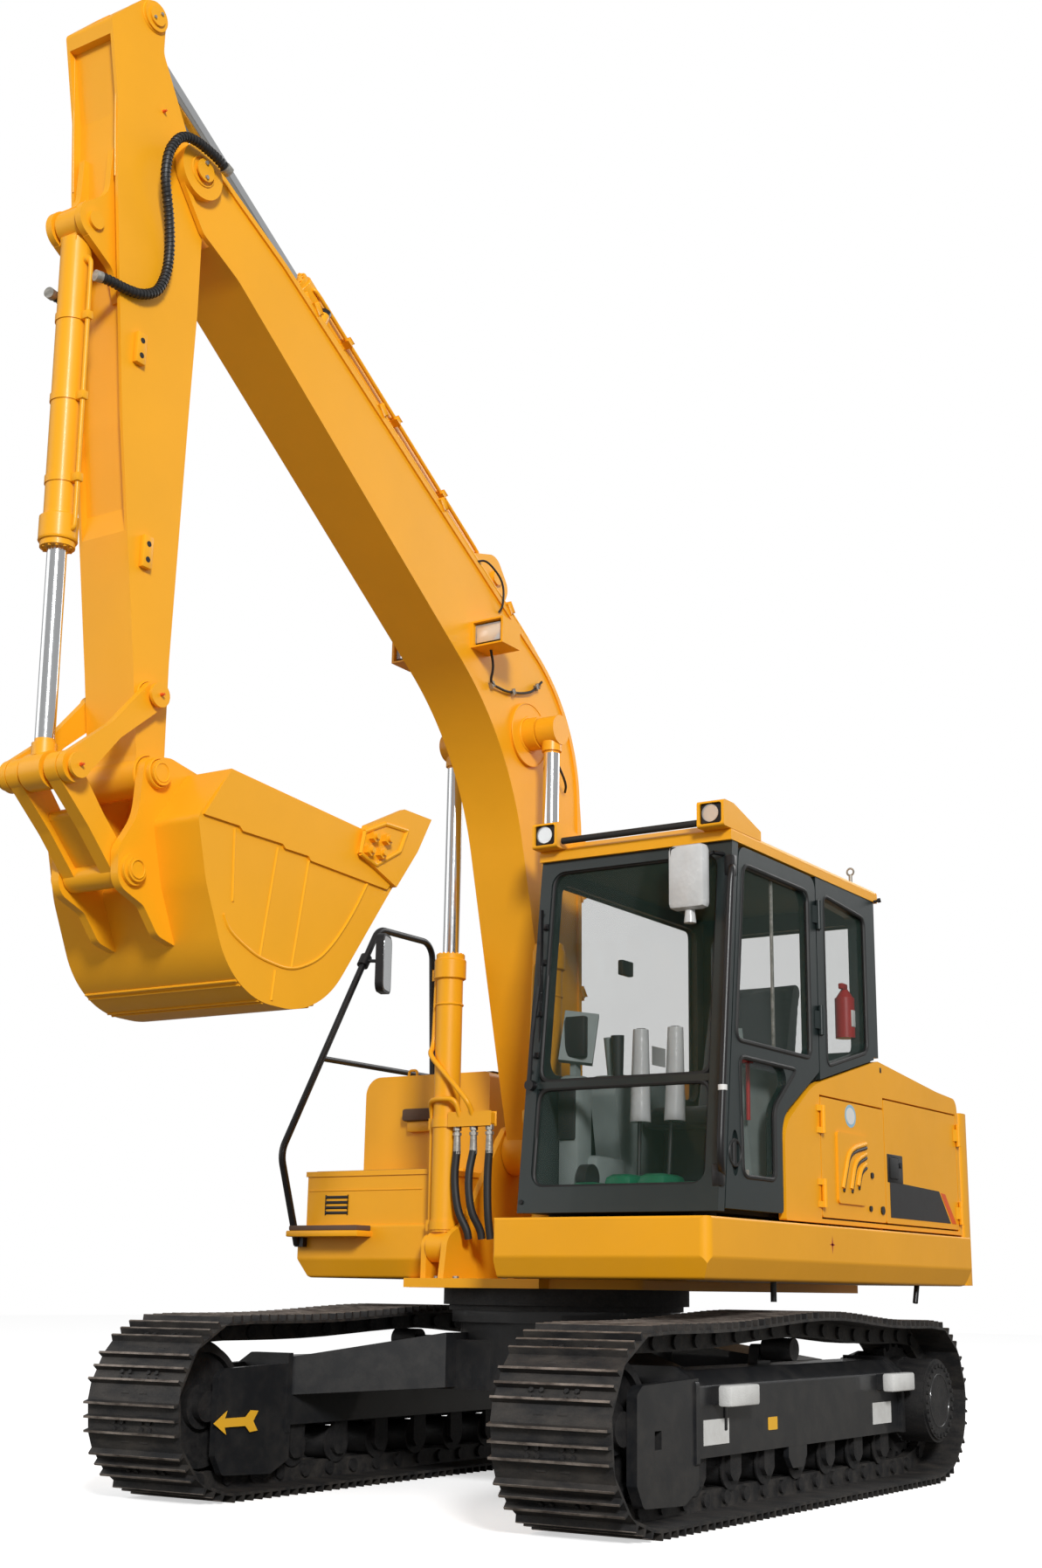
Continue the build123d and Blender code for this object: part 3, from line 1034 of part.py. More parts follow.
def arm_outline():
    corners = [(-600, 215, 50), (-590, 330, 60), (-402, 492, 30), (-62, 421, 300), (221, 393, 300), (695, 330, 600),
               (1146, 269, 600), (ARM_LENGTH - 382, 116, 300), (ARM_LENGTH - 58, 66, 60), (ARM_LENGTH + 30, 66, 60),
               (ARM_LENGTH + 30, -72, 60), (ARM_LENGTH - 94, -74, 60), (ARM_LENGTH - 437, -62, 300), (1001, -68, 300),
               (570, -74, 300), (179, -66, 80), (125, -51, 80), (-155, 57, 200), (-415, 212, 80)]
    return outline(*[arm_point(c[0], c[1]) + (c[2],) for c in corners])


def make_arm():
    """Welded box arm: open lugs for the arm cylinder, pivot boss, front channel with the bucket cylinder lugs."""
    x = WORK_AXIS_X
    half = ARM_WIDTH / 2
    box = side(arm_outline(), x - half, x + half) + across(*TIP, 100, x - half, x + half)
    # the upper end is open between its two side plates, where the cylinder rod's eye works
    mouth = outline(arm_point(-759, 51), arm_point(-759, 640), arm_point(-452, 640), arm_point(-440, 400), arm_point(-359, 380),
                    arm_point(-209, 176), arm_point(-219, 51))
    box -= side(mouth, x - 62, x + 62)
    # recessed front channel
    channel = outline(arm_point(-340, 700), arm_point(-340, 448), arm_point(-62, 391), arm_point(221, 363), arm_point(695, 300),
                      arm_point(1146, 239), arm_point(1468, 185), arm_point(1800, 230), arm_point(1800, 700))
    box -= side(channel, x - half + 14, x + half - 14)
    # lugs of the bucket cylinder, standing in the channel
    lug = outline(arm_point(100, 350), arm_point(100, 396), arm_point(290, 398) + (90,), arm_point(362, 478), arm_point(506, 478),
                  arm_point(580, 345) + (60,), arm_point(700, 310), arm_point(700, 280))
    for x0 in (x - 88, x + 60):
        box += side(lug, x0, x0 + 28) + across(*BUCKET_CYL_FOOT, 75, x0, x0 + 28)
    box += across(*BUCKET_CYL_FOOT, PIN_RADIUS, x - 100, x + 100)
    for sign in (-1, 1):
        x0, x1 = sorted((x + sign * 59, x + sign * (half + 12)))
        box += across(*ARM_CYL_EYE, 60, x0, x1)
    # bores of the boom tip, rocker and bucket pins
    box -= across(*TIP, PIN_RADIUS + RUNNING, x - 300, x + 300)
    box -= across(*ROCKER_PIN, PIN_RADIUS + RUNNING, x - 300, x + 300)
    box += across(*BUCKET_PIN, 76, x - half, x + half)
    return box - across(*BUCKET_PIN, PIN_RADIUS + RUNNING, x - 300, x + 300)


ROCKER_PLATE = 30.0


def hull_plate(a, b, radius_a, radius_b, waist, x0, x1):
    """Flat link: two round ends joined by flanks that draw in to a narrower waist."""
    way = (b[0] - a[0], b[1] - a[1])
    length = math.hypot(*way)
    n = (-way[1] / length, way[0] / length)
    flank = ((0.0, 0.97 * radius_a, 0), (0.5, waist, 150), (1.0, 0.97 * radius_b, 0))
    corners = [(share, width, radius) for share, width, radius in flank]
    corners += [(share, -width, radius) for share, width, radius in reversed(flank)]
    places = [(a[0] + share * way[0] + n[0] * width, a[1] + share * way[1] + n[1] * width, radius) for share, width, radius in corners]
    return side(outline(*places), x0, x1) + across(*a, radius_a, x0, x1) + across(*b, radius_b, x0, x1)


def make_rocker():
    """Two side levers on one through pin, with the stub pins that carry the link's upper ears."""
    x = WORK_AXIS_X
    inner = ARM_WIDTH / 2 + SIDE_PLAY
    rocker = across(*ROCKER_PIN, PIN_RADIUS, x - inner - ROCKER_PLATE - 14, x + inner + ROCKER_PLATE + 14)
    for sign in (-1, 1):
        x0, x1 = sorted((x + sign * inner, x + sign * (inner + ROCKER_PLATE)))
        rocker += hull_plate(ROCKER_PIN, LINK_TOP, 54, 58, 32, x0, x1)
        x0, x1 = sorted((x + sign * 56, x + sign * (inner + ROCKER_PLATE + 14)))
        rocker += across(*LINK_TOP, PIN_RADIUS, x0, x1)
    return rocker


def make_link():
    """H-shaped bucket link: two bored ears above, a cross tube between the bucket's ears below."""
    x = WORK_AXIS_X
    inner = ARM_WIDTH / 2
    link = across(*LINK_BOTTOM, 54, x - inner, x + inner)
    for sign in (-1, 1):
        x0, x1 = sorted((x + sign * 64, x + sign * inner))
        link += hull_plate(LINK_TOP, LINK_BOTTOM, 58, 48, 44, x0, x1)
        link -= across(*LINK_TOP, PIN_RADIUS + RUNNING, x0 - 1, x1 + 1)
    way = (LINK_BOTTOM[0] - LINK_TOP[0], LINK_BOTTOM[1] - LINK_TOP[1])
    a = (LINK_TOP[0] + way[0] * 0.42, LINK_TOP[1] + way[1] * 0.42)
    b = (LINK_TOP[0] + way[0] * 0.95, LINK_TOP[1] + way[1] * 0.95)
    return link + hull_plate(a, b, 22, 22, 22, x - 66, x + 66)


# ---------------------------------------------------------------- bucket


def bucket_point(y, z):
    """A place stated from the bucket pin."""
    return BUCKET_PIN[0] + y, BUCKET_PIN[1] + z


def bucket_shell_outline(shift):
    """Side outline of the bucket; a positive shift carries the mouth's edge outwards past its lip."""
    corners = [(159 + 0.606 * shift, 28 + 0.795 * shift, 0), (1256 + 0.6 * shift, -59 + 0.8 * shift, 0), (706, -792, 410),
               (225, -775, 330), (60, -400, 300), (2, -178, 40)]
    return outline(*[bucket_point(c[0], c[1]) + (c[2],) for c in corners])


def make_bucket():
    """Bucket shell with its side plates, lip, ears and the recess that the arm's end works in."""
    x = WORK_AXIS_X
    half = BUCKET_WIDTH / 2
    shell = side(bucket_shell_outline(0), x - half, x + half)
    cavity = offset(bucket_shell_outline(160), -BUCKET_SHELL, kind=Kind.INTERSECTION)
    shell -= side(cavity, x - half + BUCKET_SIDE, x + half - BUCKET_SIDE)
    # recess between the ears and the plate that closes it
    ear_in = ARM_WIDTH / 2 + SIDE_PLAY
    recess_corners = [(400, 260, 0), (165, 60, 0), (150, -150, 160), (60, -400, 0), (-200, -400, 0), (-200, 260, 0)]
    recess = side(outline(*[bucket_point(*c[:2]) + (c[2],) for c in recess_corners]), x - ear_in, x + ear_in)
    backing = outline(*[bucket_point(a, b) for a, b in ((182, 20), (172, -160), (90, -420), (68, -415), (60, -395), (150, -150),
                                                        (160, 20))])
    shell = shell - recess + side(backing, x - ear_in - 2, x + ear_in + 2)
    # the ears stand on the rear wall and run down it
    ear = outline(*[bucket_point(a, b) + (r,) for a, b, r in ((-60, 55, 58), (70, 72, 80), (240, 40, 40), (200, -200, 60), (160, -600, 20),
                                                              (60, -575, 60), (-20, -480, 60), (-150, -430, 70), (-160, -300, 70),
                                                              (-75, -170, 200))])
    for sign in (-1, 1):
        x0, x1 = sorted((x + sign * ear_in, x + sign * (ear_in + EAR_THICKNESS)))
        shell += side(ear, x0, x1)
        x0, x1 = sorted((x + sign * (ear_in + EAR_THICKNESS - 1), x + sign * (ear_in + EAR_THICKNESS + 16)))
        shell += across(*LINK_BOTTOM, 56, x0, x1)
    reach = ear_in + EAR_THICKNESS + 16
    shell += across(*BUCKET_PIN, PIN_RADIUS, x - reach, x + reach)
    for sign in (-1, 1):
        x0, x1 = sorted((x + sign * (reach - 17), x + sign * reach))
        shell += across(*BUCKET_PIN, 57, x0, x1)
    return shell


def make_bucket_teeth():
    """Five teeth on the lip and the two side cutters."""
    x = WORK_AXIS_X
    pieces = []
    tooth = outline(*[bucket_point(a, b) for a, b in ((1213, -95), (1264, -63), (1381, 99), (1371, 108), (1243, 7), (1200, -34))])
    for i in range(5):
        centre = x + (i - 2) * (BUCKET_WIDTH - 140) / 4
        pieces.append(side(tooth, centre - 38, centre + 38))
    cutter = outline(*[bucket_point(a, b) for a, b in ((884, -139), (921, -20), (1160, 95), (1345, 92), (1256, -60), (1123, -229))])
    for x0 in (x - BUCKET_WIDTH / 2 - 26, x + BUCKET_WIDTH / 2):
        pieces.append(side(cutter, x0, x0 + 26))
    return pieces


# ---------------------------------------------------------------- all pieces


def cylinder_pair(x, foot, eye, barrel, rod, closed, eye_width, eye_radius, pin):
    """Barrel and rod of one cylinder in their places."""
    place = along(x, foot, eye)
    return (place * make_barrel(barrel, rod, closed, eye_width, eye_radius, pin),
            place * make_rod(math.dist(foot, eye), barrel, rod, closed, eye_width, eye_radius))


def make_pieces():
    """Every sub-part by name, as a list of solids."""
    left = Pos(GAUGE / 2, 0, 0)
    pieces = {}
    track = left * make_track()
    pieces["track_left"] = [track]
    pieces["track_right"] = [mirrored(track)]
    frame = left * make_track_frame()
    roller, bracket = make_carrier()
    carrier_frame = left * side(bracket, -FRAME_HALF_WIDTH + 6, -RAIL_INSET - RAIL_WIDTH - 6)
    frame = frame + carrier_frame
    pieces["track_frame_left"] = [frame]
    pieces["track_frame_right"] = [mirrored(frame)]
    idler = left * make_idler()
    pieces["front_idlers"] = [idler, mirrored(idler)]
    drive = left * make_final_drive()
    pieces["final_drives"] = [drive, mirrored(drive)]
    rollers = []
    for i in range(ROLLER_COUNT):
        y = (i - (ROLLER_COUNT - 1) / 2) * ROLLER_PITCH + 120
        rollers.append(left * make_roller(y))
    rollers.append(left * roller)
    pieces["track_rollers"] = rollers + [mirrored(r) for r in rollers]
    pieces["carbody"] = [make_carbody()]
    pieces["slewing_ring"] = [make_slewing_ring()]
    pieces["upper_frame"] = [make_upper_frame()]
    pieces["left_deck"] = [make_left_deck()]
    pieces["right_deck"] = [make_right_deck()]
    pieces["counterweight"] = [make_counterweight()]
    pieces["lifting_lugs"] = make_lifting_lugs()
    pieces["engine_block"] = [make_engine()]
    pieces["bulkhead"] = [make_bulkhead()]
    pieces["engine_hood"] = [make_hood()]
    pieces["left_cover"] = [make_left_cover()]
    pieces["left_door_front"] = [make_left_door_front()]
    pieces["left_door_rear"] = [make_left_door_rear()]
    pieces["right_cover"] = [make_right_cover()]
    pieces["right_door"] = [make_right_door()]
    pieces["fuel_tank"] = [make_tank()]
    pieces["tool_box"] = [make_tool_box()]
    pieces["tool_box_lid"] = [make_tool_box_lid()]
    pieces["handrail"] = [make_handrail()]
    cab_front = make_cab_front()
    pieces["cab_front_frame"] = [cab_front]
    pieces["mirrors"] = [mirror - cab_front for mirror in make_mirrors()]
    pieces["cab_right_wall"] = [make_cab_right()]
    pieces["cab_left_rear_wall"] = [make_cab_left_rear()]
    pieces["cab_rear_wall"] = [make_cab_rear()]
    pieces["cab_floor"] = [make_cab_floor()]
    pieces["cab_roof"] = [make_cab_roof()]
    pieces["cab_door"] = [make_cab_door()]
    pieces["cab_glass"] = make_cab_glass()
    pieces["door_glass"] = make_door_glass()
    base, cushion, back = make_seat()
    pieces["seat_base"] = [base]
    pieces["seat_cushions"] = [cushion, back]
    pieces["consoles"] = make_consoles()
    pieces["travel_levers"] = make_travel_levers()
    pieces["monitor"] = [make_monitor()]
    pieces["boom"] = [make_boom()]
    pieces["boom_lamps"] = make_boom_lamps()
    for name, sign in (("left", 1), ("right", -1)):
        barrel, rod = cylinder_pair(WORK_AXIS_X + sign * BOOM_CYL_OFFSET, (BOOM_CYL_FOOT_Y, BOOM_CYL_FOOT_Z), BOOM_EYE,
                                    BOOM_CYL_BARREL, BOOM_CYL_ROD, BOOM_CYL_CLOSED, 100, 70, PIN_RADIUS)
        pieces["boom_cylinder_barrel_" + name] = [barrel]
        pieces["boom_cylinder_rod_" + name] = [rod]
    barrel, rod = cylinder_pair(WORK_AXIS_X, ARM_CYL_FOOT, ARM_CYL_EYE, ARM_CYL_BARREL, ARM_CYL_ROD, ARM_CYL_CLOSED, 110, 74, PIN_RADIUS)
    pieces["arm_cylinder_barrel"] = [barrel]
    pieces["arm_cylinder_rod"] = [rod]
    barrel, rod = cylinder_pair(WORK_AXIS_X, BUCKET_CYL_FOOT, LINK_TOP, BUCKET_CYL_BARREL, BUCKET_CYL_ROD, BUCKET_CYL_CLOSED, 100, 66, PIN_RADIUS)
    pieces["bucket_cylinder_barrel"] = [barrel]
    pieces["bucket_cylinder_rod"] = [rod]
    pieces["arm"] = [make_arm()]
    pieces["rocker_arms"] = [make_rocker()]
    pieces["bucket_link"] = [make_link()]
    bucket = make_bucket()
    pieces["bucket"] = [bucket]
    pieces["bucket_teeth"] = [tooth - bucket for tooth in make_bucket_teeth()]
    return pieces


def write_parts():
    """Move everything so that the origin lies under the middle of the machine, and write one file a sub-part."""
    os.makedirs("parts", exist_ok=True)
    pieces = make_pieces()
    box = Compound([solid for solids in pieces.values() for piece in solids for solid in piece.solids()]).bounding_box()
    shift = Pos(-(box.min.X + box.max.X) / 2, -(box.min.Y + box.max.Y) / 2, -box.min.Z)
    for name, solids in pieces.items():
        loose = [shift * solid for piece in solids for solid in piece.solids()]
        export_step(loose[0] if len(loose) == 1 else Compound(loose), f"parts/{name}.step")
    print("shift", tuple(shift.position))
    print("size", box.size)


write_parts()
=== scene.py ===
"""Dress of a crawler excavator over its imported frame: finishes, fittings, interior, seals and the stage."""
import json
import math

import bmesh
import bpy
from bpy.props import FloatProperty, FloatVectorProperty, PointerProperty
from mathutils import Matrix, Vector


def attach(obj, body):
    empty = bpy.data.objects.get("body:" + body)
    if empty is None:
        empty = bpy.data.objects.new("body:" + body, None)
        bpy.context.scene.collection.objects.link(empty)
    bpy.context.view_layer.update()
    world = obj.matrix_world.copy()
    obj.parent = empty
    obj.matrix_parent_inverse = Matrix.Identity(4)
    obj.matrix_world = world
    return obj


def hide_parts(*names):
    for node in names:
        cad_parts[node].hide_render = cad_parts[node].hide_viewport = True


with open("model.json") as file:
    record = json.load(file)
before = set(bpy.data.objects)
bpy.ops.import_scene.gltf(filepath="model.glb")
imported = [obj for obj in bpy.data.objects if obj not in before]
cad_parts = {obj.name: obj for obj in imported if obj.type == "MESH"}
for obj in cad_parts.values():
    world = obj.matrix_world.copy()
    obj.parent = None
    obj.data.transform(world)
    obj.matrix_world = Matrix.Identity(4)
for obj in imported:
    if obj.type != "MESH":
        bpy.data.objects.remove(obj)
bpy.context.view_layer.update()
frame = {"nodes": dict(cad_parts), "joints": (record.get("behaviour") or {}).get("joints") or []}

bl_info = {
    "name": "Crawler excavator dress",
    "version": (1, 0, 0),
    "blender": (4, 5, 0),
    "location": "3D View > Sidebar > Excavator",
    "description": "Finishes and fittings for a crawler excavator on its packed frame",
    "category": "Object",
}

MM = 0.001
JOINTS = {joint["name"]: joint for joint in frame["joints"]}
SWING = Vector(JOINTS["swing"]["pos_m"])
ORIGIN = Vector((SWING.x, SWING.y, 0.0))         # the swing axis on the ground
BOOM_FOOT = Vector(JOINTS["boom_lift"]["pos_m"])
BOOM_TIP = Vector(JOINTS["arm_crowd"]["pos_m"])
BUCKET_PIN = Vector(JOINTS["bucket_curl"]["pos_m"])
WORK_X = BOOM_FOOT.x
WORK_MM = -100.0                # middle of the boom, from the swing axis

# pins and sizes in millimetres: along the boom and up from its pin line
BOOM_LENGTH = 4548
LIFT_EYE = (1740, 865)          # eyes of the boom cylinders' rods
CROWD_FOOT = (2450, 1120)       # foot of the arm cylinder
LAMP = (2265, 770)
# along the arm and forward of its pin line
ARM_LENGTH = 2432
CROWD_EYE = (-537, 276)         # eye of the arm cylinder's rod
CURL_FOOT = (434, 452)          # foot of the bucket cylinder
ROCKER_PIN = (2149, 26)
LINK_TOP = (2498, 380)          # eye of the bucket cylinder's rod, on the rocker
# back and up from the bucket's pin
LINK_BOTTOM = (-87, -367)
LIFT_OFFSET = 272               # from the boom's middle to each boom cylinder
TRACK_X = 995                   # from the swing axis to the middle of each track
FINAL_DRIVE = (1390, 370)       # y and z of the final drives' axle


# ---------------------------------------------------------------- places


def at(x, y, z):
    """A place in millimetres from the swing axis on the ground."""
    return ORIGIN + Vector((x, y, z)) * MM


def frame_of(origin, first, second, third):
    """Matrix from local millimetres to the row frame, its three axes along the given directions."""
    turn = Matrix((first, second, third)).transposed().to_4x4()
    return Matrix.Translation(origin) @ turn @ Matrix.Scale(MM, 4)


def on_work_line(pin):
    """A pin's place in the middle plane of the boom."""
    return Vector((WORK_X, pin.y, pin.z))


BOOM_ALONG = (BOOM_TIP - BOOM_FOOT).normalized()
BOOM_UP = Vector((0.0, BOOM_ALONG.z, -BOOM_ALONG.y))
ARM_ALONG = (BUCKET_PIN - BOOM_TIP).normalized()
ARM_FRONT = Vector((0.0, ARM_ALONG.z, -ARM_ALONG.y))

X, Y, Z = Vector((1, 0, 0)), Vector((0, 1, 0)), Vector((0, 0, 1))
MACHINE = frame_of(ORIGIN, X, Y, Z)                 # (x, y, z) from the swing axis on the ground
SIDE = frame_of(ORIGIN, Y, Z, X)                    # (y, z, x), for flat pieces on the sides
FACE = frame_of(ORIGIN, X, Z, Y)                    # (x, z, y), for flat pieces on the front
BOOM = frame_of(on_work_line(BOOM_FOOT), BOOM_ALONG, BOOM_UP, X)
ARM = frame_of(on_work_line(BOOM_TIP), ARM_ALONG, ARM_FRONT, X)
BUCKET = frame_of(on_work_line(BUCKET_PIN), Y, Z, X)
RIGHT_MIRROR = (-1123.0, 14.0, 2455.0)


# ---------------------------------------------------------------- sizes and colours


def colour_value(name, description, default):
    """A colour that the add-on's user can set."""
    return FloatVectorProperty(name=name, description=description, subtype="COLOR", size=3, min=0.0, max=1.0,
                               default=default)


def number_value(name, description, default, high, low=0.0, subtype="NONE"):
    """A number that the add-on's user can set."""
    return FloatProperty(name=name, description=description, default=default, min=low, max=high,
                         subtype=subtype)


class FinishSettings(bpy.types.PropertyGroup):
    """Colours and gloss of the machine's finishes."""
    yellow: colour_value("Body enamel", "Colour of the body and working gear", (0.90, 0.40, 0.010))
    charcoal: colour_value("Cab enamel", "Colour of the cab frame and door", (0.013, 0.021, 0.021))
    black: colour_value("Undercarriage enamel", "Colour of the side frames", (0.013, 0.014, 0.016))
    gloss: number_value("Enamel roughness", "Roughness of fresh enamel", 0.34, 1.0, subtype="FACTOR")


class StageSettings(bpy.types.PropertyGroup):
    """Camera, floor and lights."""
    lens: number_value("Lens", "Focal length on a 36 mm sensor", 43.7, 200.0, low=10.0)
    floor: colour_value("Floor", "Colour of the floor", (0.95, 0.95, 0.95))
    bounce: colour_value("Floor bounce", "Colour that the floor throws back on the machine",
                         (0.24, 0.23, 0.21))
    glow: number_value("Floor glow", "Brightness added to the floor where the camera sees it", 0.55, 5.0)
    ambient: number_value("Ambient", "Strength of the soft light from all round", 0.42, 5.0)
    key: number_value("Key light", "Power of the main lamp in watts", 7300.0, 30000.0)


# ---------------------------------------------------------------- materials


def feed(tree, node, *inputs, **values):
    """Set a node's properties by name, and its inputs, by order or name, to values or to sockets linked in."""
    for key, value in (*values.items(), *enumerate(inputs)):
        if isinstance(key, str) and hasattr(node, key):
            setattr(node, key, value)
            continue
        socket = node.inputs[key.replace("_", " ") if isinstance(key, str) else key]
        if isinstance(value, bpy.types.NodeSocket):
            tree.links.new(value, socket)
        else:
            socket.default_value = value
    return node


def add_node(tree, kind, *inputs, **values):
    """A new shader node, fed as above."""
    return feed(tree, tree.nodes.new("ShaderNode" + kind), *inputs, **values)


def noise(tree, vector, **values):
    """Strength of a noise texture."""
    return add_node(tree, "TexNoise", Vector=vector, **values).outputs["Fac"]


def ranged(tree, value, **ends):
    """A value carried from one range to another."""
    return add_node(tree, "MapRange", Value=value, **ends).outputs["Result"]


def maths(tree, operation, *inputs, clamp=False):
    """Result of a sum on values or sockets."""
    return add_node(tree, "Math", *inputs, operation=operation, use_clamp=clamp).outputs["Value"]


def blend(tree, factor, first, second, kind="RGBA"):
    """Mix of two colours, or of two numbers."""
    return add_node(tree, "Mix", data_type=kind, Factor=factor, A=first, B=second).outputs["Result"]


def toned(tree, colour, value):
    """A colour made lighter or darker."""
    return add_node(tree, "HueSaturation", Value=value, Color=colour).outputs["Color"]


def node_group(name, **inputs):
    """A new shader group that gives colour, roughness and normal: (group, its input sockets, its output node)."""
    group = bpy.data.node_groups.new(name, "ShaderNodeTree")
    for label, default in inputs.items():
        kind = "NodeSocketFloat" if isinstance(default, float) else "NodeSocketColor"
        group.interface.new_socket(name=label, in_out="INPUT", socket_type=kind).default_value = default
    for label, kind in (("Colour", "Color"), ("Roughness", "Float"), ("Normal", "Vector")):
        group.interface.new_socket(name=label, in_out="OUTPUT", socket_type="NodeSocket" + kind)
    enter = group.nodes.new("NodeGroupInput")
    return group, enter.outputs, group.nodes.new("NodeGroupOutput")


def make_enamel_group():
    """Enamel film: slight colour drift, orange-peel relief and a film of road dust that thickens near the ground."""
    group, given, leave = node_group("enamel_film", Colour=(0.9, 0.4, 0.02, 1.0), Roughness=0.34, Drift=0.06,
                                     Dust=0.15, Peel=0.02)
    coords = add_node(group, "TexCoord").outputs["Object"]
    broad = noise(group, coords, Scale=1.7, Detail=4.0, Roughness=0.6)
    fine = noise(group, coords, Scale=160.0, Detail=2.0)
    streak = noise(group, coords, Scale=9.0, Detail=5.0, Roughness=0.7)
    shade = ranged(group, broad, From_Min=0.3, From_Max=0.7, To_Min=-1.0, To_Max=1.0)
    drift = maths(group, "MULTIPLY_ADD", shade, given["Drift"], 1.0)
    tone = toned(group, given["Colour"], drift)
    # dust lies low on the machine, broken up by the streaks
    height = add_node(group, "SeparateXYZ", Vector=coords).outputs["Z"]
    low = ranged(group, height, From_Min=2.2, From_Max=0.1, To_Min=0.06, To_Max=1.0)
    patch = ranged(group, streak, From_Min=0.42, From_Max=0.72)
    film = maths(group, "MULTIPLY", maths(group, "MULTIPLY", low, patch), given["Dust"], clamp=True)
    rough = maths(group, "MULTIPLY_ADD", streak, 0.16, given["Roughness"])
    bump = add_node(group, "Bump", Height=fine, Strength=given["Peel"], Distance=0.002)
    feed(group, leave, Colour=blend(group, film, tone, (0.30, 0.26, 0.21, 1.0)),
         Roughness=maths(group, "MULTIPLY_ADD", film, 0.5, rough, clamp=True), Normal=bump.outputs["Normal"])
    return group


def make_steel_group():
    """Bare steel: brown-grey mottle, scratches along the machine and pitting."""
    group, given, leave = node_group("bare_steel", Dark=(0.03, 0.026, 0.022, 1.0),
                                     Light=(0.2, 0.17, 0.14, 1.0),
                                     Scale=14.0, Wear=0.5)
    coords = add_node(group, "TexCoord").outputs["Object"]
    stretch = add_node(group, "Mapping", Vector=coords, Scale=(0.35, 1.0, 1.0)).outputs["Vector"]
    mottle = noise(group, stretch, Scale=given["Scale"], Detail=6.0, Roughness=0.65)
    pits = noise(group, coords, Scale=120.0, Detail=3.0)
    mask = ranged(group, mottle, From_Min=0.38, From_Max=0.66)
    amount = maths(group, "MULTIPLY", mask, given["Wear"], clamp=True)
    bump = add_node(group, "Bump", Height=pits, Strength=0.35, Distance=0.002)
    feed(group, leave, Colour=blend(group, amount, given["Dark"], given["Light"]),
         Roughness=ranged(group, pits, To_Min=0.42, To_Max=0.78), Normal=bump.outputs["Normal"])
    return group


def make_moulded_group():
    """Moulded or rubbery skin: pebbled grain with faint colour drift."""
    group, given, leave = node_group("moulded_grain", Colour=(0.1, 0.1, 0.1, 1.0), Grain=350.0, Depth=0.2,
                                     Roughness=0.55)
    coords = add_node(group, "TexCoord").outputs["Object"]
    cells = add_node(group, "TexVoronoi", Vector=coords, Scale=given["Grain"]).outputs["Distance"]
    cloud = noise(group, coords, Scale=12.0, Detail=4.0)
    tone = toned(group, given["Colour"], ranged(group, cloud, To_Min=0.82, To_Max=1.18))
    bump = add_node(group, "Bump", Height=cells, Strength=given["Depth"], Distance=0.0008)
    rough = maths(group, "MULTIPLY_ADD", cloud, 0.15, given["Roughness"], clamp=True)
    feed(group, leave, Colour=tone, Roughness=rough, Normal=bump.outputs["Normal"])
    return group


GROUPS = {}
GROUP_MAKERS = {"enamel": make_enamel_group, "steel": make_steel_group, "moulded": make_moulded_group}


def finish_group(name):
    """One of the shared effect groups, built the first time it is asked for."""
    if name not in GROUPS:
        GROUPS[name] = GROUP_MAKERS[name]()
    return GROUPS[name]


def new_material(name):
    """A material, its node tree and its shader."""
    material = bpy.data.materials.new(name)
    material.use_nodes = True
    return material, material.node_tree, material.node_tree.nodes["Principled BSDF"]


def new_finish(name, effect, settings, shader):
    """A material whose colour, roughness and relief come from an effect group; its other shader values are plain."""
    material, tree, bsdf = new_material(name)
    film = add_node(tree, "Group", node_tree=finish_group(effect), **settings).outputs
    feed(tree, bsdf, Base_Color=film["Colour"], Roughness=film["Roughness"], Normal=film["Normal"], **shader)
    return material


def rgba(colour):
    """A colour with full alpha."""
    return (colour[0], colour[1], colour[2], 1.0)


CHROME = (0.78, 0.79, 0.80, 1.0)
EYE_REACH = 0.118               # metres from a rod's eye that are painted


def make_rod_finish(name, eye, yellow):
    """Hard chrome with faint polishing rings, and enamel on the eye at the rod's end."""
    material, tree, bsdf = new_material(name)
    coords = add_node(tree, "TexCoord").outputs["Object"]
    away = add_node(tree, "VectorMath", coords, eye, operation="DISTANCE").outputs["Value"]
    metal = maths(tree, "GREATER_THAN", away, EYE_REACH)
    polish = ranged(tree, noise(tree, coords, Scale=60.0, Detail=3.0), To_Min=0.10, To_Max=0.20)
    feed(tree, bsdf, Base_Color=blend(tree, metal, yellow, CHROME), Metallic=metal,
         Roughness=blend(tree, metal, 0.36, polish, "FLOAT"))
    return material


def make_glass(name, colour, alpha):
    """Thin tinted safety glass that shows the inside and mirrors the surroundings at a slant."""
    material, tree, bsdf = new_material(name)
    facing = add_node(tree, "Fresnel", IOR=1.5).outputs["Fac"]
    see = ranged(tree, facing, To_Min=alpha, To_Max=1.0)
    # a pane counts once, by the skin that faces the eye
    skin = add_node(tree, "NewGeometry").outputs["Backfacing"]
    once = maths(tree, "MULTIPLY", see, maths(tree, "SUBTRACT", 1.0, skin))
    feed(tree, bsdf, Base_Color=rgba(colour), Roughness=0.02, IOR=1.45, Alpha=once)
    return material


FINISHES = {}

# rod node, place across the boom, place of its eye
ROD_EYES = [
    ("boom_cylinder_rod_left", LIFT_OFFSET, BOOM @ Vector((*LIFT_EYE, 0))),
    ("boom_cylinder_rod_right", -LIFT_OFFSET, BOOM @ Vector((*LIFT_EYE, 0))),
    ("arm_cylinder_rod", 0.0, ARM @ Vector((*CROWD_EYE, 0))),
    ("bucket_cylinder_rod", 0.0, ARM @ Vector((*LINK_TOP, 0))),
]


def enamel(colour, rough, drift, dust, peel, **shader):
    """Row of the finish table for a painted skin."""
    return "enamel", {"Colour": rgba(colour), "Roughness": rough, "Drift": drift, "Dust": dust,
                      "Peel": peel}, shader


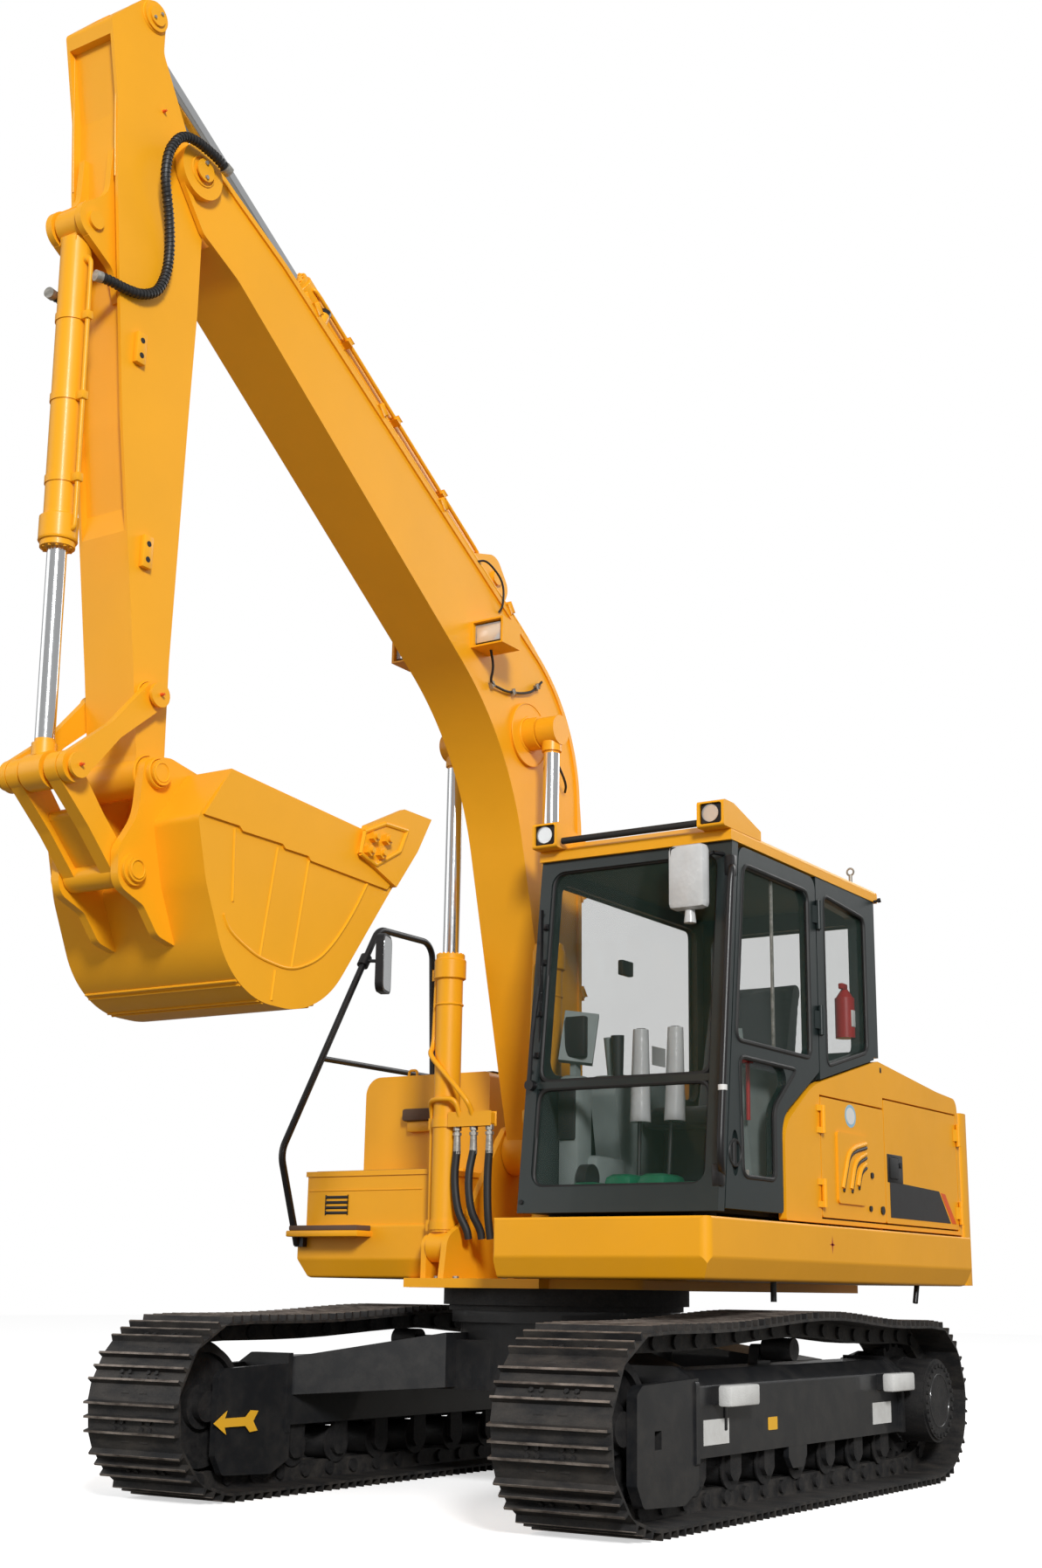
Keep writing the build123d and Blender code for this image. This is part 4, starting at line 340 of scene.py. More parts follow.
def steel(dark, light, scale, wear, **shader):
    """Row of the finish table for bare metal."""
    return "steel", {"Dark": rgba(dark), "Light": rgba(light), "Scale": scale, "Wear": wear}, shader


def moulded(colour, grain, depth, rough, **shader):
    """Row of the finish table for a moulded, woven or rubbery skin."""
    return "moulded", {"Colour": rgba(colour), "Grain": grain, "Depth": depth, "Roughness": rough}, shader


def make_finishes(settings):
    """All finishes by name."""
    table = {
        # colour, roughness, drift, dust, peel
        "yellow": enamel(settings.yellow, settings.gloss, 0.035, 0.03, 0.03, Specular_IOR_Level=0.3,
                         Coat_Weight=0.06, Coat_Roughness=0.12),
        "sticker_yellow": enamel((0.93, 0.5, 0.03), 0.4, 0.02, 0.05, 0.0),
        "charcoal": enamel(settings.charcoal, 0.30, 0.12, 0.02, 0.05, Coat_Weight=0.1),
        "black": enamel(settings.black, 0.30, 0.12, 0.07, 0.06, Coat_Weight=0.3),
        "rail_black": enamel((0.008, 0.008, 0.009), 0.28, 0.1, 0.05, 0.02),
        "white_plate": enamel((0.75, 0.75, 0.73), 0.4, 0.04, 0.3, 0.02),
        "red": enamel((0.42, 0.012, 0.012), 0.25, 0.05, 0.0, 0.02),
        "orange": enamel((0.75, 0.10, 0.01), 0.35, 0.05, 0.0, 0.02),
        "engine_grey": enamel((0.10, 0.11, 0.12), 0.5, 0.1, 0.3, 0.1),
        # dark, light, scale, wear
        "track_steel": steel((0.011, 0.011, 0.012), (0.075, 0.065, 0.055), 16.0, 0.55),
        # bright steel for the grouser tips: partly real wear, partly a painted highlight
        "wear_and_highlight_edge": steel((0.10, 0.082, 0.07), (0.36, 0.31, 0.27), 30.0, 0.9, Metallic=0.55),
        "running_gear": steel((0.008, 0.008, 0.009), (0.035, 0.032, 0.03), 20.0, 0.6),
        "zinc": steel((0.32, 0.31, 0.28), (0.62, 0.60, 0.55), 50.0, 0.7, Metallic=0.8),
        # colour, grain, depth, roughness
        "rubber": moulded((0.012, 0.012, 0.012), 500.0, 0.1, 0.5),
        "cloth": moulded((0.035, 0.038, 0.042), 900.0, 0.6, 0.8, Sheen_Weight=0.3),
        "console": moulded((0.23, 0.27, 0.26), 420.0, 0.3, 0.5),
        "dark_plastic": moulded((0.02, 0.021, 0.022), 420.0, 0.25, 0.45),
        "green_cover": moulded((0.0, 0.16, 0.07), 60.0, 0.5, 0.3),
        "floor_mat": moulded((0.02, 0.02, 0.02), 80.0, 0.4, 0.7),
        "tread_pad": moulded((0.12, 0.07, 0.045), 200.0, 0.9, 0.85),
        "wrap": moulded((0.72, 0.72, 0.70), 140.0, 0.8, 0.35),
        "hose_wrap": moulded((0.02, 0.02, 0.021), 90.0, 1.0, 0.4),
        "headliner": moulded((0.045, 0.07, 0.06), 500.0, 0.3, 0.8),
        "pale_blue": enamel((0.30, 0.52, 0.66), 0.4, 0.04, 0.1, 0.02),
        "mirror": enamel((0.85, 0.87, 0.88), 0.03, 0.01, 0.0, 0.0, Metallic=1.0),
        "foil": moulded((0.55, 0.56, 0.56), 45.0, 1.0, 0.18),
    }
    for name, (effect, values, shader) in table.items():
        FINISHES[name] = new_finish(name, effect, values, shader)
    for node, offset, eye in ROD_EYES:
        FINISHES[node] = make_rod_finish(node, Vector((WORK_X + offset * MM, eye.y, eye.z)),
                                         rgba(settings.yellow))
    FINISHES["glass"] = make_glass("cab_glass_tint", (0.03, 0.06, 0.045), 0.2)
    FINISHES["lens"] = make_glass("lamp_lens", (0.8, 0.82, 0.82), 0.3)


NODE_FINISHES = {
    "yellow": ["upper_frame", "left_deck", "right_deck", "counterweight", "lifting_lugs", "left_cover",
               "right_cover", "engine_hood",
               "left_door_front", "left_door_rear", "right_door", "fuel_tank", "tool_box", "tool_box_lid",
               "boom", "boom_lamps", "arm",
               "boom_cylinder_barrel_left", "boom_cylinder_barrel_right", "arm_cylinder_barrel",
               "bucket_cylinder_barrel",
               "bucket", "bucket_teeth", "rocker_arms", "bucket_link", "cab_roof"],
    "charcoal": ["cab_door", "cab_front_frame", "cab_right_wall", "cab_left_rear_wall", "cab_rear_wall",
                 "bulkhead"],
    "black": ["track_frame_left", "track_frame_right", "carbody"],
    "rail_black": ["handrail", "mirrors", "seat_base"],
    "track_steel": ["track_left", "track_right"],
    "running_gear": ["front_idlers", "final_drives", "track_rollers", "slewing_ring"],
    "boom_cylinder_rod_left": ["boom_cylinder_rod_left"],
    "boom_cylinder_rod_right": ["boom_cylinder_rod_right"],
    "arm_cylinder_rod": ["arm_cylinder_rod"],
    "bucket_cylinder_rod": ["bucket_cylinder_rod"],
    "engine_grey": ["engine_block"],
    "floor_mat": ["cab_floor"],
    "glass": ["cab_glass", "door_glass"],
    "cloth": ["seat_cushions"],
    "console": ["consoles", "monitor"],
    "dark_plastic": ["travel_levers"],
}


class EXCAVATOR_OT_finishes(bpy.types.Operator):
    """Make every finish and put it on the frame's own nodes"""
    bl_idname = "excavator.finishes"
    bl_label = "Finishes"

    def execute(self, context):
        make_finishes(context.scene.excavator_finish)
        dressed = set()
        for finish, names in NODE_FINISHES.items():
            for name in names:
                node = frame["nodes"][name]
                node.data.materials.clear()
                node.data.materials.append(FINISHES[finish])
                dressed.add(name)
        bare = set(frame["nodes"]) - dressed
        if bare:
            raise RuntimeError(f"no finish for {sorted(bare)}")
        return {"FINISHED"}


# ---------------------------------------------------------------- drawing helpers


def smoothed(points, reach):
    """Points of a path whose corners are rounded within a reach along each run."""
    path = [points[0]]
    for before, here, after in zip(points, points[1:], points[2:]):
        into, away = here - before, after - here
        start = here - into * min(reach / into.length, 0.48)
        end = here + away * min(reach / away.length, 0.48)
        for step in range(7):
            share = step / 6
            path.append(start.lerp(here, share).lerp(here.lerp(end, share), share))
    return path + [points[-1]]


def add_tube(draft, place, points, radius, reach=40.0, sides=12):
    """A round tube through local points, its corners rounded."""
    path = smoothed([place @ Vector(point) for point in points], reach * MM)
    across = (path[1] - path[0]).orthogonal().normalized()
    rings = []
    for index, centre in enumerate(path):
        way = (path[min(index + 1, len(path) - 1)] - path[max(index - 1, 0)]).normalized()
        across = (across - way * across.dot(way)).normalized()
        up = way.cross(across)
        turns = [math.tau * side / sides for side in range(sides)]
        rings.append([draft.verts.new(centre + (across * math.cos(a) + up * math.sin(a)) * radius * MM) for a in turns])
    for ring, following in zip(rings, rings[1:]):
        for side in range(sides):
            after = (side + 1) % sides
            draft.faces.new((ring[side], ring[after], following[after], following[side]))
    draft.faces.new(rings[0][::-1])
    draft.faces.new(rings[-1])


def add_spiral(draft, place, points, radius, pitch, wire, reach=40.0):
    """A wire wound round a hose that runs through local points."""
    path = smoothed([place @ Vector(point) for point in points], reach * MM)
    turns, steps = [], 10
    travelled, across = 0.0, (path[1] - path[0]).orthogonal().normalized()
    for start, end in zip(path, path[1:]):
        way = (end - start).normalized()
        across = (across - way * across.dot(way)).normalized()
        up = way.cross(across)
        count = max(1, round((end - start).length / (pitch * MM) * steps))
        for step in range(count):
            angle = math.tau * (travelled + (end - start).length * step / count) / (pitch * MM)
            turns.append(start.lerp(end,
                                    step / count) + (across * math.cos(angle) + up * math.sin(angle)) * radius * MM)
        travelled += (end - start).length
    rings = []
    for index, centre in enumerate(turns):
        way = (turns[min(index + 1, len(turns) - 1)] - turns[max(index - 1, 0)]).normalized()
        side = way.orthogonal().normalized() if not index else (side - way * side.dot(way)).normalized()
        other = way.cross(side)
        rings.append([draft.verts.new(centre + (side * math.cos(a) + other * math.sin(a)) * wire * MM) for a in (0.0, 1.57, 3.14, 4.71)])
    for ring, following in zip(rings, rings[1:]):
        for index in range(4):
            after = (index + 1) % 4
            draft.faces.new((ring[index], ring[after], following[after], following[index]))


def add_bar(draft, place, start, end, radius, sides=24, tip=None):
    """A round bar or cone between two local points."""
    start, end = place @ Vector(start), place @ Vector(end)
    way = end - start
    spin = way.to_track_quat("Z", "Y").to_matrix().to_4x4()
    bmesh.ops.create_cone(draft, cap_ends=True, segments=sides, radius1=radius * MM,
                          radius2=(radius if tip is None else tip) * MM,
                          depth=way.length, matrix=Matrix.Translation((start + end) / 2) @ spin)


def add_block(draft, place, low, high, edge=0.0):
    """A box between two local corners, its edges rounded."""
    low, high = Vector(low), Vector(high)
    verts = bmesh.ops.create_cube(draft, size=1.0)["verts"]
    for vert in verts:
        share = vert.co + Vector((0.5, 0.5, 0.5))
        vert.co = place @ Vector([a + (b - a) * s for a, b, s in zip(low, high, share)])
    if edge:
        edges = list({line for vert in verts for line in vert.link_edges})
        bmesh.ops.bevel(draft, geom=edges, offset=edge * MM, offset_type="OFFSET", segments=2, profile=0.5,
                        affect="EDGES", material=-1)


def add_plate(draft, place, outline, low, high, reach=0.0):
    """A flat plate: local outline of (a, b) between two places along c, its corners rounded within a reach."""
    corners = [Vector((a, b, 0.0)) for a, b in outline]
    if reach:
        loop = []
        for index, here in enumerate(corners):
            before, after = corners[index - 1], corners[(index + 1) % len(corners)]
            loop += smoothed([before, here, after],
                             min(reach, (here - before).length * 0.48, (after - here).length * 0.48))[1:-1]
        corners = loop
    rings = [[draft.verts.new(place @ Vector((c.x, c.y, depth))) for c in corners] for depth in (low, high)]
    draft.faces.new(rings[0][::-1])
    draft.faces.new(rings[1])
    for index in range(len(corners)):
        after = (index + 1) % len(corners)
        draft.faces.new((rings[0][index], rings[0][after], rings[1][after], rings[1][index]))


def add_ring(draft, place, centre, axis, radius, thickness, sides=48):
    """A thin bead round a local centre, about a local axis."""
    axis = Vector(axis).normalized()
    first = axis.orthogonal().normalized()
    second = axis.cross(first)
    centre = Vector(centre)
    points = [centre + (first * math.cos(a) + second * math.sin(a)) * radius for a in [math.tau * k / sides for k in range(sides)]]
    bead = 6
    rings = []
    for point in points:
        out = (point - centre).normalized()
        turns = [math.tau * k / bead for k in range(bead)]
        rings.append([draft.verts.new(place @ (point + (out * math.cos(t) + axis * math.sin(t)) * thickness)) for t in turns])
    for ring, following in zip(rings, rings[1:] + rings[:1]):
        for side in range(bead):
            after = (side + 1) % bead
            draft.faces.new((ring[side], ring[after], following[after], following[side]))


def add_band(draft, place, low, high, inner, outer, sides=40):
    """A clamp band round the local first axis, open inside."""
    rings = []
    for along, radius in ((low, inner), (low, outer), (high, outer), (high, inner)):
        turns = [math.tau * side / sides for side in range(sides)]
        rings.append([draft.verts.new(place @ Vector((along, radius * math.cos(a),
                                                      radius * math.sin(a)))) for a in turns])
    for ring, following in zip(rings, rings[1:] + rings[:1]):
        for side in range(sides):
            after = (side + 1) % sides
            draft.faces.new((ring[side], ring[after], following[after], following[side]))


def add_bolts(draft, place, centre, axis, radius, count, size, height, start=0.0):
    """Hexagon heads in a circle about a local axis."""
    axis = Vector(axis).normalized()
    first = axis.orthogonal().normalized()
    second = axis.cross(first)
    for index in range(count):
        a = math.radians(start) + math.tau * index / count
        foot = Vector(centre) + (first * math.cos(a) + second * math.sin(a)) * radius
        add_bar(draft, place, foot, foot + axis * height, size, sides=6)


class Piece:
    """A joined mesh under construction."""

    def __init__(self, name, finish, body):
        self.name, self.finish, self.body = name, finish, body
        self.draft = bmesh.new()

    def close(self, sharp=35.0):
        """Make the object, in its finish and riding on its body."""
        bmesh.ops.recalc_face_normals(self.draft, faces=self.draft.faces)
        mesh = bpy.data.meshes.new(self.name)
        self.draft.to_mesh(mesh)
        self.draft.free()
        mesh.shade_smooth()
        mesh.set_sharp_from_angle(angle=math.radians(sharp))
        mesh.materials.append(FINISHES[self.finish])
        obj = bpy.data.objects.new(self.name, mesh)
        bpy.context.scene.collection.objects.link(obj)
        if self.body:
            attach(obj, self.body)
        return obj


def nipples(piece, place, points, way):
    """Grease nipples: a small hexagon foot and a ball head at each local point."""
    for point in points:
        foot = Vector(point)
        step = Vector(way)
        add_bar(piece.draft, place, foot, foot + step * 7, 7, sides=6)
        add_bar(piece.draft, place, foot + step * 7, foot + step * 17, 4.5, sides=10)


# ---------------------------------------------------------------- boom, arm and bucket


def boom_top(u):
    """Height of the boom's top flange over the pin line."""
    return 340 + (4120 - u) * 0.4 if u > 2030 else 112 + (u + 40) * 0.743


class EXCAVATOR_OT_boom_dress(bpy.types.Operator):
    """Pipes, clamps, lamps, cables, pin caps and weld beads of the boom"""
    bl_idname = "excavator.boom_dress"
    bl_label = "Boom dress"

    def execute(self, context):
        pipes = Piece("boom_pipes", "yellow", "boom")
        for x in (-124, 124):
            add_tube(pipes.draft, BOOM,
                     [(3960, boom_top(3960) + 16, x), (2060, boom_top(2060) + 26, x), (1640, 1266, x),
                                         (1230, 1092, x), (420, boom_top(420) + 14, x)], 12, reach=200)
            for u in (3900, 3400, 2900, 2300, 900, 520):
                v = boom_top(u)
                add_block(pipes.draft, BOOM, (u - 26, v - 2, x - 24), (u + 26, v + 34, x + 24), edge=4)
        # blocks and capped ports along the top edge
        for u, rise, length in ((3950, 46, 60), (2860, 52, 44), (2731, 34, 70)):
            v = boom_top(u)
            add_block(pipes.draft, BOOM, (u - length / 2, v - 2, 60), (u + length / 2, v + rise, 118), edge=4)
        add_bar(pipes.draft, BOOM, (3825, boom_top(3825) + 20, 92), (3860, boom_top(3825) + 88, 92), 26)
        add_block(pipes.draft, BOOM, (3790, boom_top(3825) - 2, 66), (3880, boom_top(3825) + 26, 118), edge=4)
        for sign in (-1, 1):
            # pin caps and weld beads of the boom cylinder's pin and the tip
            add_ring(pipes.draft, BOOM, (*LIFT_EYE, sign * 149), (0, 0, 1), 150, 4)
            add_ring(pipes.draft, BOOM, (*LIFT_EYE, sign * 150), (0, 0, 1), 82, 5)
            add_ring(pipes.draft, BOOM, (4548, 0, sign * 168), (0, 0, 1), 60, 4)
            add_bar(pipes.draft, BOOM, (4548, 0, sign * 178), (4548, 0, sign * 184), 46)
        pipes.close()
        caps = Piece("boom_port_caps", "rail_black", "boom")
        add_bar(caps.draft, BOOM, (3858, boom_top(3825) + 84, 92), (3868, boom_top(3825) + 104, 92), 27)
        for u in (3950, 2860):
            add_bar(caps.draft, BOOM, (u, boom_top(u) + 44, 90), (u, boom_top(u) + 60, 90), 13)
        caps.close()
        bolts = Piece("boom_bolts", "zinc", "boom")
        for u in (3900, 3400, 2900, 2300, 900, 520):
            for x in (-124, 124):
                add_bar(bolts.draft, BOOM, (u, boom_top(u) + 32, x), (u, boom_top(u) + 42, x), 9, sides=6)
        for sign in (-1, 1):
            for a in (0.6, 3.7):
                u, v = 4548 + 30 * math.cos(a), 30 * math.sin(a)
                add_bar(bolts.draft, BOOM, (u, v, sign * 183), (u, v, sign * 191), 9, sides=6)
        bolts.close()
        cables = Piece("boom_cables", "rubber", "boom")
        lamp = Vector((*LAMP, 0))
        for sign in (-1, 1):
            add_tube(cables.draft, BOOM,
                     [(lamp.x - 40, lamp.y - 50, sign * 200), (lamp.x - 120, lamp.y - 60, sign * 190),
                                          (2080, 690, sign * 152), (1990, 800, sign * 151),
                                          (1930, 920, sign * 151),
                                          (1900, 1010, sign * 151), (1905, 1120, sign * 150)], 6, reach=40)
        add_tube(cables.draft, BOOM,
                 [(2585, 955, 135), (2570, 1010, 160), (2440, 1060, 175), (2340, 1010, 160),
                  (2320, 985, 140)], 5, reach=60)
        add_tube(cables.draft, BOOM, [(1700, 905, 196), (1560, 930, 200), (1430, 960, 190), (1380, 985, 150)],
                 6, reach=70)
        cables.close()
        ties = Piece("boom_cable_clips", "zinc", "boom")
        for sign in (-1, 1):
            for u, v in ((2065, 705), (1965, 850), (1903, 1060)):
                add_block(ties.draft, BOOM, (u - 12, v - 12, sign * 145), (u + 12, v + 12, sign * 158),
                          edge=3)
        ties.close()
        # lenses inside the two lamp hoods
        lens = Piece("boom_lamp_lenses", "lens", "boom")
        shell = Piece("boom_lamp_reflectors", "mirror", "boom")
        rim = Piece("boom_lamp_rims", "rail_black", "boom")
        centre = MACHINE.inverted() @ (BOOM @ Vector((*LAMP, 0)))
        for x0, x1 in ((WORK_MM - 310 + 12, WORK_MM - 145), (WORK_MM + 145, WORK_MM + 310 - 12)):
            y, z = centre.y, centre.z
            add_block(rim.draft, MACHINE, (x0, y - 62, z - 52), (x1, y - 50, z + 52), edge=6)
            add_block(shell.draft, MACHINE, (x0 + 12, y - 66, z - 40), (x1 - 12, y - 60, z + 40), edge=3)
            add_block(lens.draft, MACHINE, (x0 + 9, y - 76, z - 43), (x1 - 9, y - 70, z + 43), edge=3)
        for piece in (lens, shell, rim):
            piece.close()
        return {"FINISHED"}


class EXCAVATOR_OT_arm_dress(bpy.types.Operator):
    """Hoses, pipes, port blocks, pin caps and nipples of the arm"""
    bl_idname = "excavator.arm_dress"
    bl_label = "Arm dress"

    def execute(self, context):
        hose = Piece("arm_hose", "hose_wrap", "arm")
        for shift in (0, -395):
            mirror = 1 if shift == 0 else -1
            route = [(-49, -76, 205), (-66, -23, 206), (-73, 97, 206), (-47, 172, 204), (47, 224, 200),
                     (152, 225, 192), (224, 193, 180),
                     (294, 157, 165), (397, 128, 150), (500, 128, 146), (600, 165, 144), (652, 245, 143),
                     (662, 325, 134), (662, 400, 128),
                     (668, 440, 122)]
            add_tube(hose.draft, ARM, [(s, t, x * mirror) for s, t, x in route], 17, reach=45, sides=16)
            add_spiral(hose.draft, ARM, [(s, t, x * mirror) for s, t, x in route], 18, 17, 3.2, reach=45)
        hose.close(60)
        ends = Piece("arm_hose_ends", "zinc", "arm")
        for sign in (-1, 1):
            add_bar(ends.draft, ARM, (-49, -76, sign * 205), (-40, -104, sign * 205), 23)
            add_bar(ends.draft, ARM, (667, 430, sign * 124), (669, 456, sign * 118), 21)
        ends.close()
        blocks = Piece("arm_blocks", "yellow", "arm")
        hole_shade = Piece("arm_block_hole_shade", "rail_black", "arm")
        for s, t in ((856, 219), (1621, 106)):
            for sign in (-1, 1):
                low, high = sorted((sign * 119, sign * 142))
                add_block(blocks.draft, ARM, (s - 62, t - 24, low), (s + 62, t + 24, high), edge=4)
                # flat dark discs on each block face: painted shade standing for its two port holes
                for step in (-30, 30):
                    add_bar(hole_shade.draft, ARM, (s + step, t, sign * 141), (s + step, t, sign * 143), 11)
        for sign in (-1, 1):
            add_ring(blocks.draft, ARM, (*CROWD_EYE, sign * 121), (0, 0, 1), 62, 4)
            add_ring(blocks.draft, ARM, (2432, 0, sign * 121), (0, 0, 1), 70, 4)
            add_ring(blocks.draft, ARM, (*ROCKER_PIN, sign * 121), (0, 0, 1), 58, 4)
            add_tube(blocks.draft, ARM,
                     [(-380, 455, sign * 108), (-62, 424, sign * 108), (221, 395, sign * 108)], 3, reach=100,
                     sides=6)
        # pin caps of the arm cylinder's eye
        add_bar(blocks.draft, ARM, (*CROWD_EYE, 130), (*CROWD_EYE, 140), 40)
        add_bar(blocks.draft, ARM, (*CROWD_EYE, -130), (*CROWD_EYE, -140), 40)
        blocks.close()
        hole_shade.close()
        studs = Piece("arm_studs", "zinc", "arm")
        for sign in (-1, 1):
            add_bolts(studs.draft, ARM, (*CROWD_EYE, sign * 139), (0, 0, sign), 24, 2, 7, 7)
        studs.close()
        fit = Piece("arm_nipples", "orange", "arm")
        for sign in (-1, 1):
            nipples(fit, ARM, [(-170, 190, sign * 120)], (0, 0, sign))
        fit.close()
        # hard pipe and clamp bands along the bucket cylinder and the arm cylinder
        for name, body, foot, eye, barrel, closed, lift in (
                ("bucket_cylinder_pipes", "bucket_cylinder_barrel", ARM @ Vector((*CURL_FOOT, 0)),
                 ARM @ Vector((*LINK_TOP, 0)), 56, 1350, 1),
                ("arm_cylinder_pipes", "arm_cylinder_barrel", BOOM @ Vector((*CROWD_FOOT, 0)),
                 ARM @ Vector((*CROWD_EYE, 0)), 66, 1780, 1)):
            along = (eye - foot).normalized()
            place = frame_of(foot, along, X.cross(along) * -1.0, X)
            dress = Piece(name, "yellow", body)
            top = closed - 95
            out = (barrel + 24) * lift
            add_tube(dress.draft, place,
                     [(150, 0, barrel - 4), (150, 0, barrel + 22), (190, 0, barrel + 24),
                      (top - 90, 0, barrel + 24),
                                          (top - 60, 0, barrel + 20), (top - 60, 0, barrel)], 9, reach=24)
            add_bar(dress.draft, place, (150, out * 0, barrel - 6), (150, 0, barrel + 14), 16)
            for share in (0.3, 0.55, 0.8):
                w = top * share
                add_band(dress.draft, place, w - 14, w + 14, barrel - 1, barrel + 4)
                add_block(dress.draft, place, (w - 16, -14, barrel - 2), (w + 16, 14, barrel + 38), edge=3)
            add_ring(dress.draft, place, (top - 26, 0, 0), (1, 0, 0), barrel + 9, 5)
            dress.close()
            screws = Piece(name.replace("pipes", "screws"), "yellow", body)
            add_bolts(screws.draft, place, (top - 1, 0, 0), (1, 0, 0), barrel - 4, 12, 6, 7)
            screws.close()
        return {"FINISHED"}


class EXCAVATOR_OT_cylinder_dress(bpy.types.Operator):
    """Pipes, bands, gland screws and hoses of the two boom cylinders"""
    bl_idname = "excavator.cylinder_dress"
    bl_label = "Boom cylinder dress"

    def execute(self, context):
        pivot = Vector(JOINTS["boom_cylinder_swing"]["pos_m"])
        eye = BOOM @ Vector((*LIFT_EYE, 0))
        along = Vector((0, eye.y - pivot.y, eye.z - pivot.z)).normalized()
        front = Vector((0, -along.z, along.y))
        pipes = Piece("boom_cylinder_pipes", "yellow", "boom_cylinder_barrels")
        screws = Piece("boom_cylinder_screws", "yellow", "boom_cylinder_barrels")
        hoses = Piece("boom_cylinder_hoses", "rubber", "boom_cylinder_barrels")
        ferrules = Piece("boom_cylinder_ferrules", "zinc", "boom_cylinder_barrels")
        for sign in (-1, 1):
            place = frame_of(Vector((WORK_X + sign * 272 * MM, pivot.y, pivot.z)), along, front, X * -sign)
            add_ring(pipes.draft, place, (1298, 0, 0), (1, 0, 0), 68, 5)
            add_ring(pipes.draft, place, (1090, 0, 0), (1, 0, 0), 62, 5)
            for w in (547, 92):
                add_band(pipes.draft, place, w - 20, w + 20, 60, 67)
                if sign < 0:
                    add_block(pipes.draft, place, (w - 22, -14, -87), (w + 22, 14, -60), edge=3)
            add_block(pipes.draft, place, (530, 14, 52 if sign < 0 else 56),
                      (586, 58, 280 if sign < 0 else 96), edge=5)
            if sign < 0:
                # pipe from the head down one side and across the front to the block
                add_block(pipes.draft, place, (1212, -16, -87), (1256, 16, -60), edge=4)
                add_tube(pipes.draft, place,
                         [(1225, 0, -74), (900, 10, -76), (860, 66, -62), (640, 84, 168), (600, 60, 176),
                          (560, 40, 176)],
                         12, reach=60)
                # pipe from the foot up past the band and over to the block
                add_tube(pipes.draft, place,
                         [(84, 0, -74), (110, 0, -76), (600, 6, -76), (648, 50, -62), (652, 84, 30),
                          (646, 72, 100),
                                              (560, 44, 108)], 12, reach=46)
            else:
                add_tube(pipes.draft, place,
                         [(1225, 58, 20), (1225, 76, 24), (1190, 78, 26), (640, 78, 40), (586, 40, 76)], 12,
                         reach=40)
            add_bolts(screws.draft, place, (1324, 0, 0), (1, 0, 0), 57, 16, 6, 7)
            if sign > 0:
                continue
            for side in (86, 176, 262):
                add_bar(ferrules.draft, place, (530, 34, side), (508, 34, side), 19, sides=6)
                add_bar(ferrules.draft, place, (512, 34, side), (500, 34, side), 13)
                add_bar(ferrules.draft, place, (500, 34, side), (486, 34, side), 20, sides=6)
                add_bar(ferrules.draft, place, (486, 34, side), (404, 34, side), 15, tip=18)
            for side, foot, ahead in ((86, 150, 8), (176, 222, 30), (262, 268, 2)):
                add_tube(hoses.draft, place,
                         [(416, 34, side), (300, 34 + ahead, side - 6),
                          (150, 38 + ahead, side + (foot - side) * 0.3),
                                              (70, 30, foot), (30, 24, foot + 3)], 18, reach=110)
        for piece in (pipes, screws, hoses, ferrules):
            piece.close()
        return {"FINISHED"}


